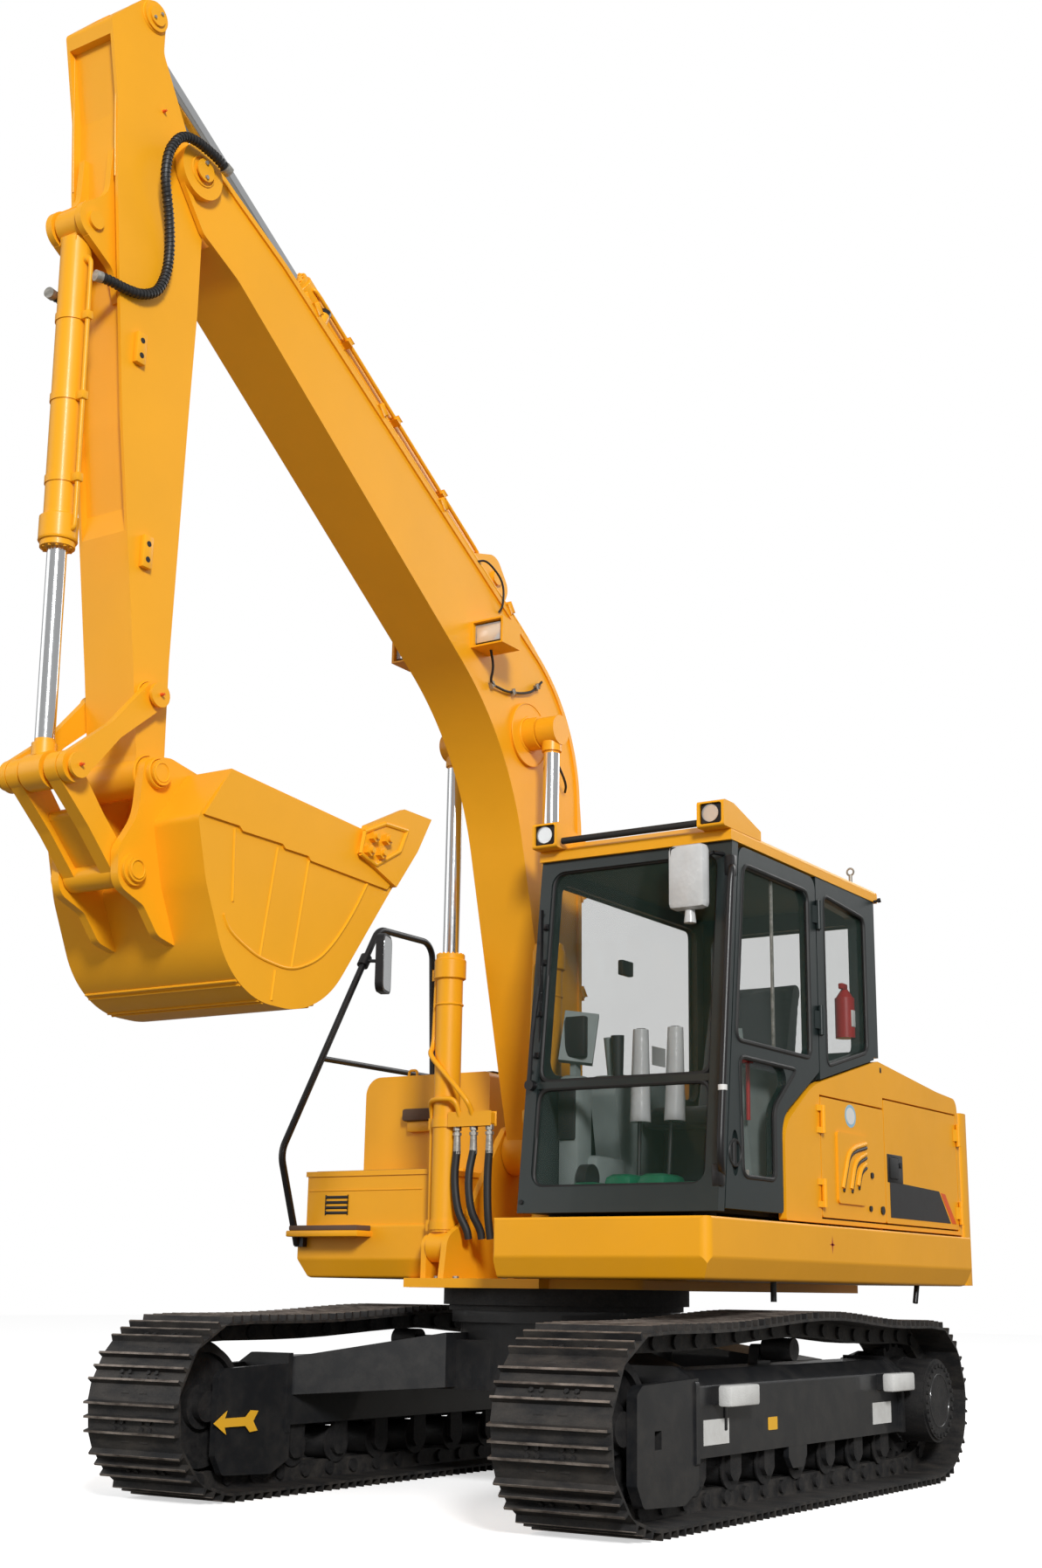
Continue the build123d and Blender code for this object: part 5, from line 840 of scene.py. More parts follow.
class EXCAVATOR_OT_bucket_dress(bpy.types.Operator):
    """Band plates, wear rims, tooth adapters, cutter bolts, pin caps and nipples of the bucket and its linkage"""
    bl_idname = "excavator.bucket_dress"
    bl_label = "Bucket dress"

    def execute(self, context):
        plates = Piece("bucket_plates", "yellow", "bucket")
        bolts = Piece("bucket_bolts", "zinc", "bucket")
        for sign in (-1, 1):
            low, high = sorted((sign * 368, sign * 380))
            band = [(150, 20), (1236, -64), (1084, -244), (610, -221), (596, -206), (462, -204), (448, -190),
                    (226, -188), (208, -173),
                    (22, -170)]
            add_plate(plates.draft, BUCKET, band, low, high, reach=6)
            face = sign * 370
            for line in ([(193, -186), (202, -447)], [(431, -207), (362, -620)], [(610, -220), (539, -631)],
                         [(449, -656), (436, -766)]):
                add_tube(plates.draft, BUCKET, [(y, z, face) for y, z in line], 5, sides=8)
            bead = [(160, -500), (190, -552), (282, -596), (362, -625), (535, -644), (688, -584), (790, -491),
                    (894, -360), (966, -243)]
            add_tube(plates.draft, BUCKET, [(y, z, face) for y, z in bead], 6, reach=70, sides=8)
            add_bar(plates.draft, BUCKET, (0, 0, sign * 176), (0, 0, sign * 190), 47)
            add_bar(plates.draft, BUCKET, (*LINK_BOTTOM, sign * 176), (*LINK_BOTTOM, sign * 188), 44)
            add_ring(plates.draft, BUCKET, (0, 0, sign * 177), (0, 0, 1), 52, 4)
            recess = [(885, -140), (905, -50), (1035, 8), (1180, 10), (1135, -83), (985, -166)]
            for start, end in zip(recess, recess[1:] + recess[:1]):
                add_tube(plates.draft, BUCKET, [(*start, sign * 396), (*end, sign * 396)], 9, sides=8)
            for y, z in ((925, -122), (952, -62), (1034, -56), (1000, -118)):
                foot = Vector((y, z, sign * 394))
                add_bar(plates.draft, BUCKET, foot, foot + Vector((0, 0, sign * 26)), 23, sides=6)
                add_bar(plates.draft, BUCKET, foot + Vector((0, 0, sign * 26)),
                        foot + Vector((0, 0, sign * 38)), 12)
            for y, z, radius in ((0, 0, 34), (*LINK_BOTTOM, 32)):
                add_ring(plates.draft, BUCKET, (y, z, sign * 190), (0, 0, 1), radius, 3)
        # adapters on the lip, and wear strips across the bottom
        for index in range(5):
            x = (index - 2) * 150
            adapter = [(1110, -176), (1180, -150), (1264, -66), (1290, -16), (1262, -4), (1236, -28),
                       (1160, -58), (1096, -136)]
            add_plate(plates.draft, BUCKET, adapter, x - 46, x + 46, reach=10)
            add_bar(bolts.draft, BUCKET, (1232, -50, x - 50), (1232, -50, x + 50), 9)
        for centre, radius, angles in (((443.6, -452.5), 331, (-99, -103, -122, -126)),
                                       ((506.5, -374.7), 411, (-66, -70))):
            for angle in angles:
                y, z = (centre[i] + radius * (math.cos, math.sin)[i](math.radians(angle)) for i in (0, 1))
                add_bar(plates.draft, BUCKET, (y, z, -366), (y, z, 366), 5, sides=8)
        plates.close()
        bolts.close()
        caps = Piece("linkage_caps", "yellow", "rocker")
        fit = Piece("linkage_nipples", "orange", "rocker")
        for sign in (-1, 1):
            add_bar(caps.draft, ARM, (*ROCKER_PIN, sign * 168), (*ROCKER_PIN, sign * 180), 46)
            add_bar(caps.draft, ARM, (*LINK_TOP, sign * 168), (*LINK_TOP, sign * 180), 46)
            nipples(fit, ARM, [(*ROCKER_PIN, sign * 180), (*LINK_TOP, sign * 180)], (0, 0, sign))
        caps.close()
        fit.close()
        return {"FINISHED"}


# ---------------------------------------------------------------- undercarriage


def shoe_tips(track):
    """Centre, outward direction and half width of every grouser tip, from a track's mesh, in order round the loop."""
    points = {}
    for edge in track.data.edges:
        a, b = (track.matrix_world @ track.data.vertices[index].co for index in edge.vertices)
        if abs(abs(a.x - b.x) - 0.5) < 0.002 and abs(a.y - b.y) + abs(a.z - b.z) < 0.0005:
            points[(round(a.y, 4), round(a.z, 4))] = Vector((0, a.y, a.z))
    middle = sum(points.values(), Vector()) / len(points)
    tips = []
    places = list(points.values())
    for index, a in enumerate(places):
        for b in places[index + 1:]:
            gap = (a - b).length
            if 0.0078 < gap < 0.0094:
                across = (b - a).normalized()
                out = Vector((0, -across.z, across.y))
                centre = (a + b) / 2
                if out.dot(centre - middle) < 0:
                    out = -out
                tips.append((centre, out, gap / 2))
    return middle, sorted(tips, key=lambda tip: math.atan2(tip[0].z - middle.z, tip[0].y - middle.y))


class EXCAVATOR_OT_track_dress(bpy.types.Operator):
    """Grouser edges made bright, partly by real wear and partly as a painted highlight, shoe bolts, chain links, step
    covers, hub bolts and blank plates of the undercarriage
    """
    bl_idname = "excavator.track_dress"
    bl_label = "Track dress"

    def execute(self, context):
        for name, sign in (("left", 1), ("right", -1)):
            middle, tips = shoe_tips(frame["nodes"]["track_" + name])
            if len(tips) != 129:
                raise RuntimeError(f"{len(tips)} grouser tips on the {name} track instead of 129")
            x = (ORIGIN.x / MM + sign * 995) * MM
            edges = Piece(f"grouser_edges_{name}", "wear_and_highlight_edge", "undercarriage")
            bolts = Piece(f"shoe_bolts_{name}", "running_gear", "undercarriage")
            links = Piece(f"chain_pins_{name}", "running_gear", "undercarriage")
            for index, (centre, out, half) in enumerate(tips):
                along = Vector((0, out.z, -out.y))
                place = Matrix((X, along, out)).transposed().to_4x4()
                place.translation = Vector((x, centre.y, centre.z))
                local = place @ Matrix.Scale(MM, 4)
                # bright strip on each grouser tip: partly real wear, partly a painted highlight
                add_block(edges.draft, local, (-249.5, -half / MM - 0.3, -7), (249.5, half / MM + 0.3, 0.8))
                after = tips[(index + 1) % len(tips)]
                turn = out.angle(after[1])
                gap = (after[0] - centre).length
                if gap > 0.2:
                    continue
                mid = (centre + after[0]) / 2
                normal = (out + after[1]).normalized()
                across = Vector((0, normal.z, -normal.y))
                seat = Matrix((X, across, normal)).transposed().to_4x4()
                seat.translation = Vector((x, mid.y, mid.z))
                seat = seat @ Matrix.Scale(MM, 4)
                if index % 3 == self.phase(tips):
                    for bolt_x in (-96, -52, 52, 96):
                        add_bar(bolts.draft, seat, (bolt_x, -14, -27), (bolt_x, -14, -16), 10, sides=6)
                        add_bar(bolts.draft, seat, (bolt_x, 14, -27), (bolt_x, 14, -16), 10, sides=6)
                elif index % 3 == (self.phase(tips) + 1) % 3:
                    for pin_x in (-78, 62):
                        add_bar(links.draft, seat, (pin_x - 6, 0, -75), (pin_x + 22, 0, -75), 27, sides=16)
            for vert in edges.draft.verts:
                vert.co.z = max(vert.co.z, 0.0)
            for piece in (edges, bolts, links):
                piece.close()
        trims = Piece("track_frame_trims", "black", "undercarriage")
        wraps = Piece("step_covers", "wrap", "undercarriage")
        plates = Piece("undercarriage_plates", "white_plate", "undercarriage")
        signs = Piece("undercarriage_signs", "sticker_yellow", "undercarriage")
        hub_bolts = Piece("final_drive_bolts", "running_gear", "undercarriage")
        for sign in (-1, 1):
            side = frame_of(ORIGIN + X * sign * 995 * MM, Y, Z, X * sign)
            for y, low in ((-742, -815), (905, 845)):
                add_block(wraps.draft, side, (y - 4, 424, 158), (y + 254, 504, 216), edge=10)
                add_plate(plates.draft, side, [(low, 282), (low + 215, 282), (low + 215, 376), (low, 376)],
                          130, 131.5)
            add_plate(signs.draft, side, [(-246, 312), (-160, 312), (-160, 362), (-246, 362)], 130, 131.5,
                      reach=6)
            add_block(trims.draft, side, (-640, 330, 128), (-618, 452, 136), edge=5)
            add_bolts(hub_bolts.draft, side, (1390, 370, 242), (0, 0, 1), 160, 24, 10, 9)
            add_bolts(hub_bolts.draft, side, (1390, 370, 74), (0, 0, 1), 191, 24, 7, 8)
            add_ring(trims.draft, side, (1390, 370, 243), (0, 0, 1), 120, 3)
        for piece in (trims, wraps, plates, signs, hub_bolts):
            piece.close()
        arrow = Piece("travel_arrow", "sticker_yellow", "undercarriage")
        add_plate(arrow.draft, SIDE,
                  [(-1400, 304), (-1318, 352), (-1330, 322), (-1200, 322), (-1170, 348), (-1120, 344),
                   (-1150, 304),
                                      (-1120, 264), (-1170, 260), (-1200, 286), (-1330, 286), (-1318, 256)],
                                      -847, -845)
        arrow.close()
        ring_bolts = Piece("slewing_ring_bolts", "zinc", "undercarriage")
        add_bolts(ring_bolts.draft, MACHINE, (0, 0, 789), (0, 0, 1), 545, 36, 11, 8)
        ring_bolts.close()
        return {"FINISHED"}

    @staticmethod
    def phase(tips):
        """Which of three gaps between grousers lies inside a shoe, told by the bends between shoes."""
        bends = [sum(tips[i][1].angle(tips[(i + 1) % len(tips)][1]) for i in range(start, len(tips),
                                                                                   3)) for start in range(3)]
        return (bends.index(max(bends)) + 2) % 3


# ---------------------------------------------------------------- house


class EXCAVATOR_OT_cover_dress(bpy.types.Operator):
    """Louvres, latches, badges without lettering, vents and seams of the machinery house and its skirt"""
    bl_idname = "excavator.cover_dress"
    bl_label = "Cover dress"

    def execute(self, context):
        patch = Piece("louvre_patch", "yellow", "left_door_front")
        dark = Piece("louvre_slot_shade_and_fittings", "rail_black", "left_door_front")
        add_plate(patch.draft, SIDE, [(330, 1245), (330, 1560), (690, 1560), (690, 1330), (620, 1245)], 1212,
                  1215, reach=18)
        # three nested angled louvres: a short upper leg and a long lower one
        for path in ([(640, 1523), (500, 1496), (440, 1466), (368, 1312)],
                     [(636, 1477), (548, 1450), (506, 1420), (462, 1312)],
                     [(633, 1431), (590, 1414), (566, 1392), (540, 1330)]):
            add_tube(patch.draft, SIDE, [(y, z, 1216) for y, z in path], 11, reach=40, sides=10)
            # dark strip under each louvre lip: painted shade standing for the slot opening
            add_tube(dark.draft, SIDE, [(y + 9, z - 16, 1215.5) for y, z in path], 8, reach=36, sides=8)
        for y, z, radius in ((725, 1386, 14), (700, 1235, 13), (842, 1233, 19)):
            add_bar(dark.draft, SIDE, (y, z, 1203), (y, z, 1213), radius)
        patch.close()
        dark.close()
        badge = Piece("badge_plate", "rail_black", "left_door_rear")
        add_plate(badge.draft, SIDE, [(945, 1205), (945, 1372), (1580, 1356), (1728, 1205)], 1204, 1206.5)
        add_block(badge.draft, SIDE, (918, 1366, 1186), (1108, 1500, 1209), edge=6)
        badge.close()
        latch = Piece("rear_latch", "dark_plastic", "left_door_rear")
        add_block(latch.draft, SIDE, (940, 1384, 1206), (1040, 1484, 1216), edge=8)
        add_bar(latch.draft, SIDE, (1074, 1452, 1206), (1074, 1452, 1215), 13)
        latch.close()
        slash = Piece("badge_slash", "orange", "left_door_rear")
        add_plate(slash.draft, SIDE, [(1602, 1350), (1662, 1346), (1806, 1205), (1750, 1205)], 1204, 1206.5)
        slash.close()
        oval = Piece("oval_sticker", "pale_blue", "left_door_front")
        ring = [(500 + 62 * math.cos(a),
                 1640 + 52 * math.sin(a)) for a in [math.tau * k / 40 for k in range(40)]]
        add_plate(oval.draft, SIDE, ring, 1204, 1205.6)
        oval.close()
        face = Piece("oval_sticker_face", "white_plate", "left_door_front")
        ring = [(500 + 48 * math.cos(a),
                 1640 + 38 * math.sin(a)) for a in [math.tau * k / 40 for k in range(40)]]
        add_plate(face.draft, SIDE, ring, 1205, 1206.4)
        face.close()
        fittings = Piece("house_black_fittings", "rail_black", "upper")
        add_block(fittings.draft, SIDE, (862, 1872, 1198), (884, 1900, 1208), edge=6)
        for x, y0, y1 in ((1100, -120, -120), (1150, 1380, 1350)):
            add_bar(fittings.draft, MACHINE, (x, y0, 905), (x, y1, 818), 13)
        # vent of the tool box, its four dark strips painted shade for the vent slots, and fuel gauge
        for row in range(4):
            add_block(fittings.draft, FACE, (-1100, 1262 - row * 24, -404), (-968, 1276 - row * 24, -397),
                      edge=4)
        add_block(fittings.draft, SIDE, (430, 1330, -1222), (470, 1700, -1212), edge=6)
        fittings.close()
        pads = Piece("step_pads", "tread_pad", "upper")
        add_block(pads.draft, MACHINE, (-1225, -520, 1112), (-820, -404, 1136), edge=6)
        add_block(pads.draft, MACHINE, (-1180, 80, 1880), (-480, 480, 1886), edge=2)
        add_block(pads.draft, MACHINE, (-950, -26, 1652), (-720, 34, 1712), edge=12)
        pads.close()
        lid = Piece("lid_pad", "tread_pad", "tool_box_lid")
        add_block(lid.draft, MACHINE, (-1190, -370, 1389), (-540, -70, 1394), edge=2)
        lid.close()
        trims = Piece("house_trims", "yellow", "upper")
        add_block(trims.draft, MACHINE, (-1235, -528, 1084), (-812, -400, 1112), edge=6)
        add_block(trims.draft, MACHINE, (-930, -4, 1600), (-740, 34, 1652), edge=4)
        add_tube(trims.draft, MACHINE,
                 [(-1010, 110, 1876), (-1010, 110, 1916), (-960, 110, 1916), (-960, 110, 1876)], 7, reach=18)
        add_bar(trims.draft, MACHINE, (-1205, -401, 1300), (-540, -401, 1300), 3, sides=8)
        for x in (-1, 1):
            for y, z in ((-500, 1000), (-200, 1000)):
                add_block(trims.draft, MACHINE, (x * 240 - 100 - 12, y, z),
                          (x * 240 - 100 + 12, y + 30, z + 30), edge=4)
        trims.close()
        bolts = Piece("house_bolts", "zinc", "upper")
        for sign in (-1, 1):
            for y in (-95, -5):
                add_bar(bolts.draft, SIDE, (y, 1480, WORK_MM + sign * 222), (y, 1480, WORK_MM + sign * 232),
                        12, sides=6)
        for x in (-330, -230, 30, 130):
            add_bar(bolts.draft, MACHINE, (x, -560, 898), (x, -560, 910), 14, sides=6)
        bolts.close()
        marks = Piece("lift_marks", "red", "upper")
        for sign in (-1, 1):
            low, high = sorted((sign * 1249.5, sign * 1250.1))
            add_plate(marks.draft, SIDE, [(155, 1060), (163, 1100), (171, 1060), (163, 1020)], low, high)
            add_plate(marks.draft, SIDE, [(133, 1060), (163, 1066), (193, 1060), (163, 1054)], low, high)
        marks.close()
        return {"FINISHED"}


def screen_y(z):
    """Front face of the cab at a height."""
    return -820 + 170 * (z - 1165) / 1535


class EXCAVATOR_OT_cab_dress(bpy.types.Operator):
    """Seals, wiper, grab rail, lamps, mirror film, handles and the fittings seen through the glass"""
    bl_idname = "excavator.cab_dress"
    bl_label = "Cab dress"

    def execute(self, context):
        seals = Piece("cab_seals", "rubber", "upper")
        lower, upper = 1270, 2650
        for z0, z1 in ((lower, 1685), (1715, upper)):
            x0, x1 = 312, 1135
            loop = [(x0, screen_y((z0 + z1) / 2) + 20, (z0 + z1) / 2), (x0, screen_y(z1) + 20, z1),
                    (x1, screen_y(z1) + 20, z1),
                    (x1, screen_y(z0) + 20, z0), (x0, screen_y(z0) + 20, z0),
                    (x0, screen_y((z0 + z1) / 2) + 20, (z0 + z1) / 2)]
            add_tube(seals.draft, MACHINE, loop, 11, reach=62, sides=8)
        quarter = [(272, 2100), (272, 2630), (745, 2600), (745, 1957), (272, 1842), (272, 2100)]
        add_tube(seals.draft, SIDE, [(y, z, 1194) for y, z in quarter], 10, reach=48, sides=8)
        window = [(-640, 2200), (-545, 2620), (740, 2620), (740, 1760), (-640, 1760), (-640, 2200)]
        add_tube(seals.draft, SIDE, [(y, z, 258) for y, z in window], 10, reach=48, sides=8)
        rear = [(340, 2280), (340, 2590), (1115, 2590), (1115, 1970), (340, 1970), (340, 2280)]
        add_tube(seals.draft, FACE, [(x, z, 862) for x, z in rear], 10, reach=48, sides=8)
        # visor strip between the lamp cowls
        add_bar(seals.draft, MACHINE, (392, -706, 2776), (1066, -706, 2776), 15)
        seals.close()
        door_seals = Piece("door_seals", "rubber", "cab_door")
        upper = [(-600, 2200), (-552, 2615), (95, 2615), (95, 1860), (-640, 1860), (-600, 2200)]
        add_tube(door_seals.draft, SIDE, [(y, z, 1196) for y, z in upper], 11, reach=52, sides=8)
        lower = [(-600, 1550), (-610, 1795), (-60, 1795), (-285, 1610), (-285, 1310), (-590, 1310),
                 (-600, 1550)]
        add_tube(door_seals.draft, SIDE, [(y, z, 1196) for y, z in lower], 11, reach=44, sides=8)
        # handle in its recess
        add_bar(door_seals.draft, SIDE, (-662, 1345, 1192), (-662, 1455, 1192), 13)
        add_ring(door_seals.draft, SIDE, (-662, 1400, 1199), (0, 0, 1), 52, 6)
        door_seals.close()
        sash = Piece("door_sash", "zinc", "cab_door")
        add_block(sash.draft, SIDE, (-222, 1868, 1160), (-206, 2606, 1172), edge=3)
        add_bar(sash.draft, SIDE, (-560, 1328, 1198), (-560, 1328, 1206), 11)
        sash.close()
        rails = Piece("cab_grab_rail", "rail_black", "upper")
        top, foot = 2560, 1330
        add_tube(rails.draft, MACHINE,
                 [(1196, screen_y(top) + 12, top + 20), (1222, screen_y(top) - 34, top + 10),
                                        (1222, screen_y(top - 60) - 44, top - 60),
                                        (1222, screen_y(foot + 80) - 44, foot + 80),
                                        (1216, screen_y(foot) - 20, foot + 6),
                                        (1196, screen_y(foot) + 30, foot - 22)], 15, reach=50, sides=16)
        for z in (top + 30, foot - 26):
            add_block(rails.draft, MACHINE, (1170, screen_y(z) - 8, z - 44), (1212, screen_y(z) + 30, z + 44),
                      edge=6)
        # wiper: motor boss, arm and blade along the right-hand pillar
        add_bar(rails.draft, MACHINE, (288, screen_y(1700) - 34, 1700), (288, screen_y(1700) + 6, 1700), 22)
        add_tube(rails.draft, MACHINE,
                 [(288, screen_y(1700) - 26, 1700), (292, screen_y(1900) - 40, 1900),
                  (304, screen_y(2130) - 32, 2130)],
                 8, reach=60, sides=8)
        add_block(rails.draft, MACHINE, (299, screen_y(2120) - 26, 1760), (308, screen_y(2120) - 4, 2470),
                  edge=3)
        for z in (1830, 2010, 2240, 2400):
            add_block(rails.draft, MACHINE, (284, screen_y(z) - 18, z - 12), (318, screen_y(z) - 2, z + 12),
                      edge=4)
        # bolt heads down the right-hand pillar
        for z in (1210, 1760, 2330, 2460):
            add_bar(rails.draft, MACHINE, (274, screen_y(z) - 8, z), (274, screen_y(z) + 4, z), 10, sides=6)
        # roof knob and eyes
        add_bar(rails.draft, MACHINE, (1204, 860, 2700), (1228, 866, 2706), 7)
        add_bar(rails.draft, MACHINE, (1224, 864, 2705), (1238, 868, 2708), 11)
        rails.close()
        clip = Piece("rail_clip", "white_plate", "upper")
        add_bar(clip.draft, MACHINE, (1222, screen_y(1650) - 44, 1636), (1222, screen_y(1650) - 44, 1658), 19)
        clip.close()
        eyes = Piece("roof_eyes", "zinc", "upper")
        for x, y in ((1130, 760), (340, 760)):
            add_bar(eyes.draft, MACHINE, (x, y, 2785), (x, y, 2822), 9)
            add_ring(eyes.draft, MACHINE, (x, y, 2838), (0, 1, 0), 17, 5)
        eyes.close()
        # lamps in the roof cowls
        rims = Piece("cab_lamp_rims", "rail_black", "upper")
        reflectors = Piece("cab_lamp_reflectors", "mirror", "upper")
        lenses = Piece("cab_lamp_lenses", "lens", "upper")
        for x in (315, 1140):
            add_block(rims.draft, MACHINE, (x - 51, -726, 2762), (x + 51, -716, 2850), edge=8)
            add_bar(reflectors.draft, MACHINE, (x, -730, 2806), (x, -722, 2806), 36, tip=30)
            add_bar(lenses.draft, MACHINE, (x, -738, 2806), (x, -734, 2806), 38)
        for piece in (rims, reflectors, lenses):
            piece.close()
        # film wrapped round the left mirror, and the mirror glass of the right one
        film = Piece("mirror_film", "foil", "upper")
        box_low, box_high = Vector((964, -798, 2395)), Vector((1138, -724, 2672))
        add_block(film.draft, MACHINE, box_low, box_high, edge=26)
        add_bar(film.draft, MACHINE, (1050, -752, 2400), (1050, -752, 2340), 20, tip=26)
        film.close()
        glass = Piece("right_mirror_glass", "mirror", "upper")
        tilt = Matrix.Rotation(math.radians(22), 4, "Z")
        place = frame_of(at(*RIGHT_MIRROR), tilt @ Y, Z, tilt @ X)
        add_plate(glass.draft, place, [(-72, -137), (72, -137), (72, 137), (-72, 137)], 19.5, 22, reach=38)
        glass.close()
        return {"FINISHED"}


class EXCAVATOR_OT_interior(bpy.types.Operator):
    """Seat cushions, wrapped levers, pedals, hammer, extinguisher and the cab's lining"""
    bl_idname = "excavator.interior"
    bl_label = "Interior"

    def execute(self, context):
        middle = 712
        wraps = Piece("lever_covers", "foil", "upper")
        for sign in (-1, 1):
            add_bar(wraps.draft, MACHINE, (middle + sign * 84, -426, 1560), (middle + sign * 86, -418, 1960),
                    46, sides=14, tip=34)
        wraps.close()
        pedals = Piece("pedal_covers", "green_cover", "upper")
        for sign in (-1, 1):
            add_block(pedals.draft, MACHINE, (middle + sign * 80 - 70, -640, 1210),
                      (middle + sign * 80 + 70, -430, 1330), edge=34)
        add_block(pedals.draft, MACHINE, (420, -690, 1204), (560, -540, 1296), edge=30)
        add_block(pedals.draft, MACHINE, (930, -690, 1204), (1060, -560, 1290), edge=30)
        pedals.close()
        housing = Piece("console_housings", "console", "upper")
        add_block(housing.draft, MACHINE, (312, -520, 1199), (470, -260, 1420), edge=30)
        add_block(housing.draft, MACHINE, (312, -600, 1199), (420, -470, 1760), edge=26)
        add_block(housing.draft, MACHINE, (990, -420, 1199), (1070, -200, 1360), edge=26)
        housing.close()
        dark = Piece("cab_dark_fittings", "dark_plastic", "upper")
        add_block(dark.draft, MACHINE, (322, -612, 1480), (408, -598, 1700), edge=8)
        add_block(dark.draft, MACHINE, (318, -556, 1840), (420, -520, 2020), edge=8)
        add_bar(dark.draft, MACHINE, (420, -560, 1320), (470, -560, 1320), 58, sides=32)
        add_block(dark.draft, MACHINE, (300, -60, 2280), (330, 40, 2350), edge=6)
        for x in (440, 985):
            add_bar(dark.draft, MACHINE, (x, -292, 1780), (x, -300, 1960), 22, tip=30)
        dark.close()
        red = Piece("extinguisher", "red", "upper")
        add_bar(red.draft, MACHINE, (1090, 740, 2030), (1090, 740, 2220), 48)
        add_bar(red.draft, MACHINE, (1090, 740, 2220), (1090, 740, 2262), 44, tip=16)
        add_block(red.draft, MACHINE, (1074, 700, 2262), (1100, 760, 2290), edge=6)
        add_bar(red.draft, MACHINE, (1098, -330, 1560), (1098, -330, 1820), 9)
        add_bar(red.draft, MACHINE, (1098, -330, 1800), (1098, -330, 1846), 24)
        red.close()
        plates = Piece("cab_plates", "white_plate", "upper")
        add_block(plates.draft, MACHINE, (1118, 716, 2080), (1140, 764, 2160), edge=3)
        add_plate(plates.draft, SIDE, [(300, 1900), (430, 1900), (430, 1990), (300, 1990)], 282, 284)
        plates.close()
        lining = Piece("roof_lining", "headliner", "upper")
        add_block(lining.draft, MACHINE, (305, -610, 2672), (1105, 800, 2694), edge=6)
        lining.close()
        self.cushions()
        return {"FINISHED"}

    @staticmethod
    def freeze(obj):
        """Apply an object's modifiers to its mesh."""
        graph = bpy.context.evaluated_depsgraph_get()
        obj.data = bpy.data.meshes.new_from_object(obj.evaluated_get(graph))
        obj.modifiers.clear()

    @staticmethod
    def cushions():
        """Padded seat and back: rounded blocks swollen by cloth pressure inside the seat's own outlines."""
        mesh = frame["nodes"]["seat_cushions"].data.copy()
        mesh.materials.clear()
        mesh.materials.append(FINISHES["cloth"])
        pad = bpy.data.objects.new("seat_padding", mesh)
        bpy.context.scene.collection.objects.link(pad)
        size = 0.008
        remesh = pad.modifiers.new("remesh", "REMESH")
        remesh.mode = "VOXEL"
        remesh.voxel_size = size
        shrink = pad.modifiers.new("shrink", "DISPLACE")
        shrink.mid_level = 0.0
        shrink.strength = -0.008
        smooth = pad.modifiers.new("smooth", "SMOOTH")
        smooth.factor = 0.8
        smooth.iterations = 10
        EXCAVATOR_OT_interior.freeze(pad)
        start = [vert.co.copy() for vert in pad.data.vertices]
        cloth = pad.modifiers.new("cloth", "CLOTH")
        cloth.settings.use_pressure = True
        cloth.settings.uniform_pressure_force = 4.0
        cloth.settings.effector_weights.gravity = 0.0
        for moment in range(1, 21):
            bpy.context.scene.frame_set(moment)
        EXCAVATOR_OT_interior.freeze(pad)
        bpy.context.scene.frame_set(1)
        for vert, before in zip(pad.data.vertices, start):
            moved = vert.co - before
            if moved.length > 0.012:
                vert.co = before + moved.normalized() * 0.012
        pad.data.shade_smooth()
        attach(pad, "upper")
        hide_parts("seat_cushions")


DETAIL_STEPS = (EXCAVATOR_OT_boom_dress, EXCAVATOR_OT_arm_dress, EXCAVATOR_OT_cylinder_dress,
                EXCAVATOR_OT_bucket_dress,
                EXCAVATOR_OT_track_dress, EXCAVATOR_OT_cover_dress, EXCAVATOR_OT_cab_dress,
                EXCAVATOR_OT_interior)


# ---------------------------------------------------------------- stage


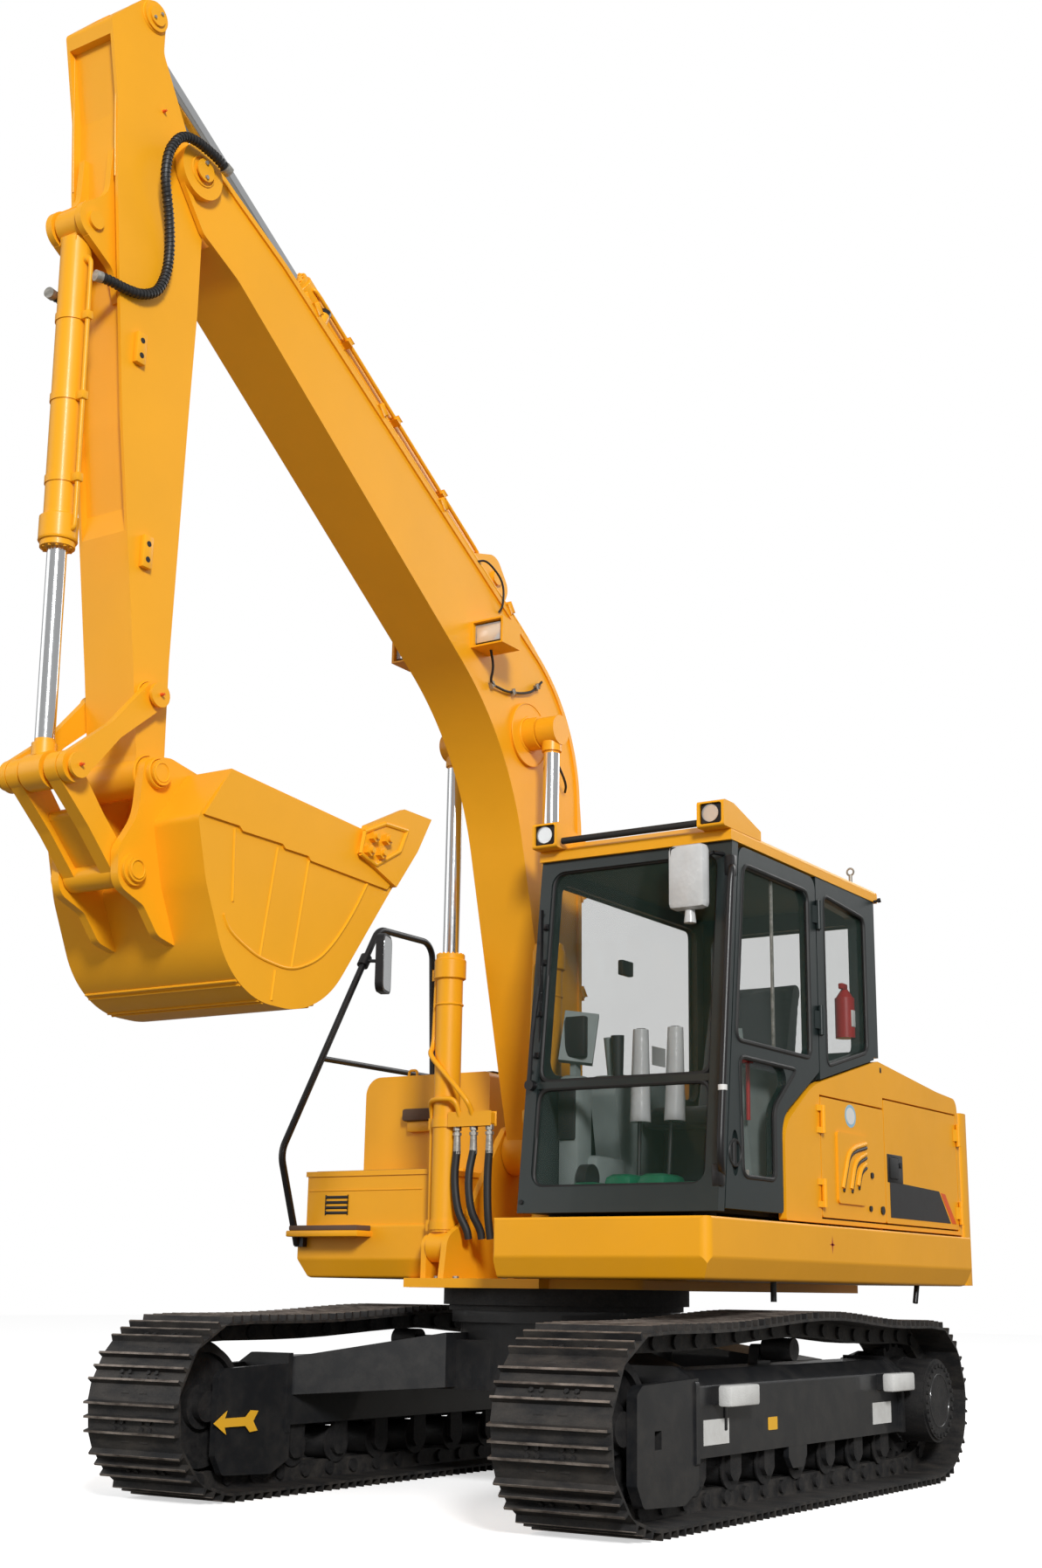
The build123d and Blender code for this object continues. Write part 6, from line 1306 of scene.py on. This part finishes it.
class EXCAVATOR_OT_stage(bpy.types.Operator):
    """Pale floor, soft studio lights and the camera"""
    bl_idname = "excavator.stage"
    bl_label = "Stage"

    def execute(self, context):
        settings = context.scene.excavator_stage
        floor = bmesh.new()
        bmesh.ops.create_grid(floor, x_segments=1, y_segments=1, size=40.0)
        mesh = bpy.data.meshes.new("stage_floor")
        floor.to_mesh(mesh)
        floor.free()
        ground = bpy.data.objects.new("stage_floor", mesh)
        context.scene.collection.objects.link(ground)
        material = bpy.data.materials.new("stage_floor")
        material.use_nodes = True
        tree = material.node_tree
        bsdf = tree.nodes["Principled BSDF"]
        bsdf.inputs["Roughness"].default_value = 0.9
        bsdf.inputs["Specular IOR Level"].default_value = 0.0
        bsdf.inputs["Emission Color"].default_value = (1.0, 1.0, 1.0, 1.0)
        # the camera sees a paper-white floor, while the machine gets a softer bounce from it
        seen = add_node(tree, "LightPath")
        tone = add_node(tree, "Mix", data_type="RGBA")
        tone.inputs["A"].default_value = rgba(settings.bounce)
        tone.inputs["B"].default_value = rgba(settings.floor)
        tree.links.new(seen.outputs["Is Camera Ray"], tone.inputs["Factor"])
        tree.links.new(tone.outputs["Result"], bsdf.inputs["Base Color"])
        glow = add_node(tree, "Math", operation="MULTIPLY")
        tree.links.new(seen.outputs["Is Camera Ray"], glow.inputs[0])
        glow.inputs[1].default_value = settings.glow
        tree.links.new(glow.outputs["Value"], bsdf.inputs["Emission Strength"])
        mesh.materials.append(material)
        world = bpy.data.worlds.new("studio")
        world.use_nodes = True
        tree = world.node_tree
        background = tree.nodes["Background"]
        background.inputs["Color"].default_value = (1.0, 1.0, 1.0, 1.0)
        seen = add_node(tree, "LightPath")
        level = add_node(tree, "MapRange")
        tree.links.new(seen.outputs["Is Camera Ray"], level.inputs["Value"])
        level.inputs["To Min"].default_value = settings.ambient
        level.inputs["To Max"].default_value = 1.0
        tree.links.new(level.outputs["Result"], background.inputs["Strength"])
        context.scene.world = world
        for name, place, target, size, power in (
                ("key", (19.0, -20.0, 14.0), (0.0, -0.3, 1.8), 5.0, settings.key),
                ("fill", (-10.0, -9.0, 6.0), (0.0, -0.5, 2.0), 9.0, 260.0),
                ("rim", (3.0, 11.0, 9.0), (0.0, 0.0, 2.0), 7.0, 420.0)):
            light = bpy.data.lights.new(name, "AREA")
            light.size = size
            light.energy = power
            lamp = bpy.data.objects.new(name, light)
            lamp.location = place
            lamp.rotation_mode = "QUATERNION"
            lamp.rotation_quaternion = (Vector(target) - Vector(place)).to_track_quat("-Z", "Y")
            context.scene.collection.objects.link(lamp)
        camera = bpy.data.cameras.new("camera")
        camera.sensor_width = 36.0
        camera.lens = settings.lens
        camera.shift_x = -0.0148
        camera.shift_y = 0.0008
        camera.clip_start = 0.05
        camera.clip_end = 200.0
        eye = bpy.data.objects.new("camera", camera)
        azimuth, pitch, roll = math.radians(32.41), math.radians(14.92), math.radians(0.73)
        eye.location = at(4717.0, -7676.0, 845.0)
        back = Vector((math.sin(azimuth) * math.cos(pitch), -math.cos(azimuth) * math.cos(pitch),
                       -math.sin(pitch)))
        eye.rotation_mode = "QUATERNION"
        eye.rotation_quaternion = (-back).to_track_quat("-Z", "Y") @ Matrix.Rotation(roll, 3,
                                                                                     "Z").to_quaternion()
        context.scene.collection.objects.link(eye)
        context.scene.camera = eye
        context.scene.view_settings.view_transform = "Standard"
        return {"FINISHED"}


class EXCAVATOR_PT_panel(bpy.types.Panel):
    """Sidebar list of the dressing steps"""
    bl_label = "Excavator"
    bl_idname = "EXCAVATOR_PT_panel"
    bl_space_type = "VIEW_3D"
    bl_region_type = "UI"
    bl_category = "Excavator"

    def draw(self, context):
        for step in STEPS:
            self.layout.operator(step.bl_idname)


STEPS = (EXCAVATOR_OT_finishes, *DETAIL_STEPS, EXCAVATOR_OT_stage)
CLASSES = (FinishSettings, StageSettings, *STEPS, EXCAVATOR_PT_panel)


def register():
    for item in CLASSES:
        bpy.utils.register_class(item)
    bpy.types.Scene.excavator_finish = PointerProperty(type=FinishSettings)
    bpy.types.Scene.excavator_stage = PointerProperty(type=StageSettings)


def unregister():
    del bpy.types.Scene.excavator_stage
    del bpy.types.Scene.excavator_finish
    for item in reversed(CLASSES):
        bpy.utils.unregister_class(item)


def main():
    register()
    for step in STEPS:
        family, name = step.bl_idname.split(".")
        getattr(getattr(bpy.ops, family), name)()


if __name__ == "__main__":
    main()
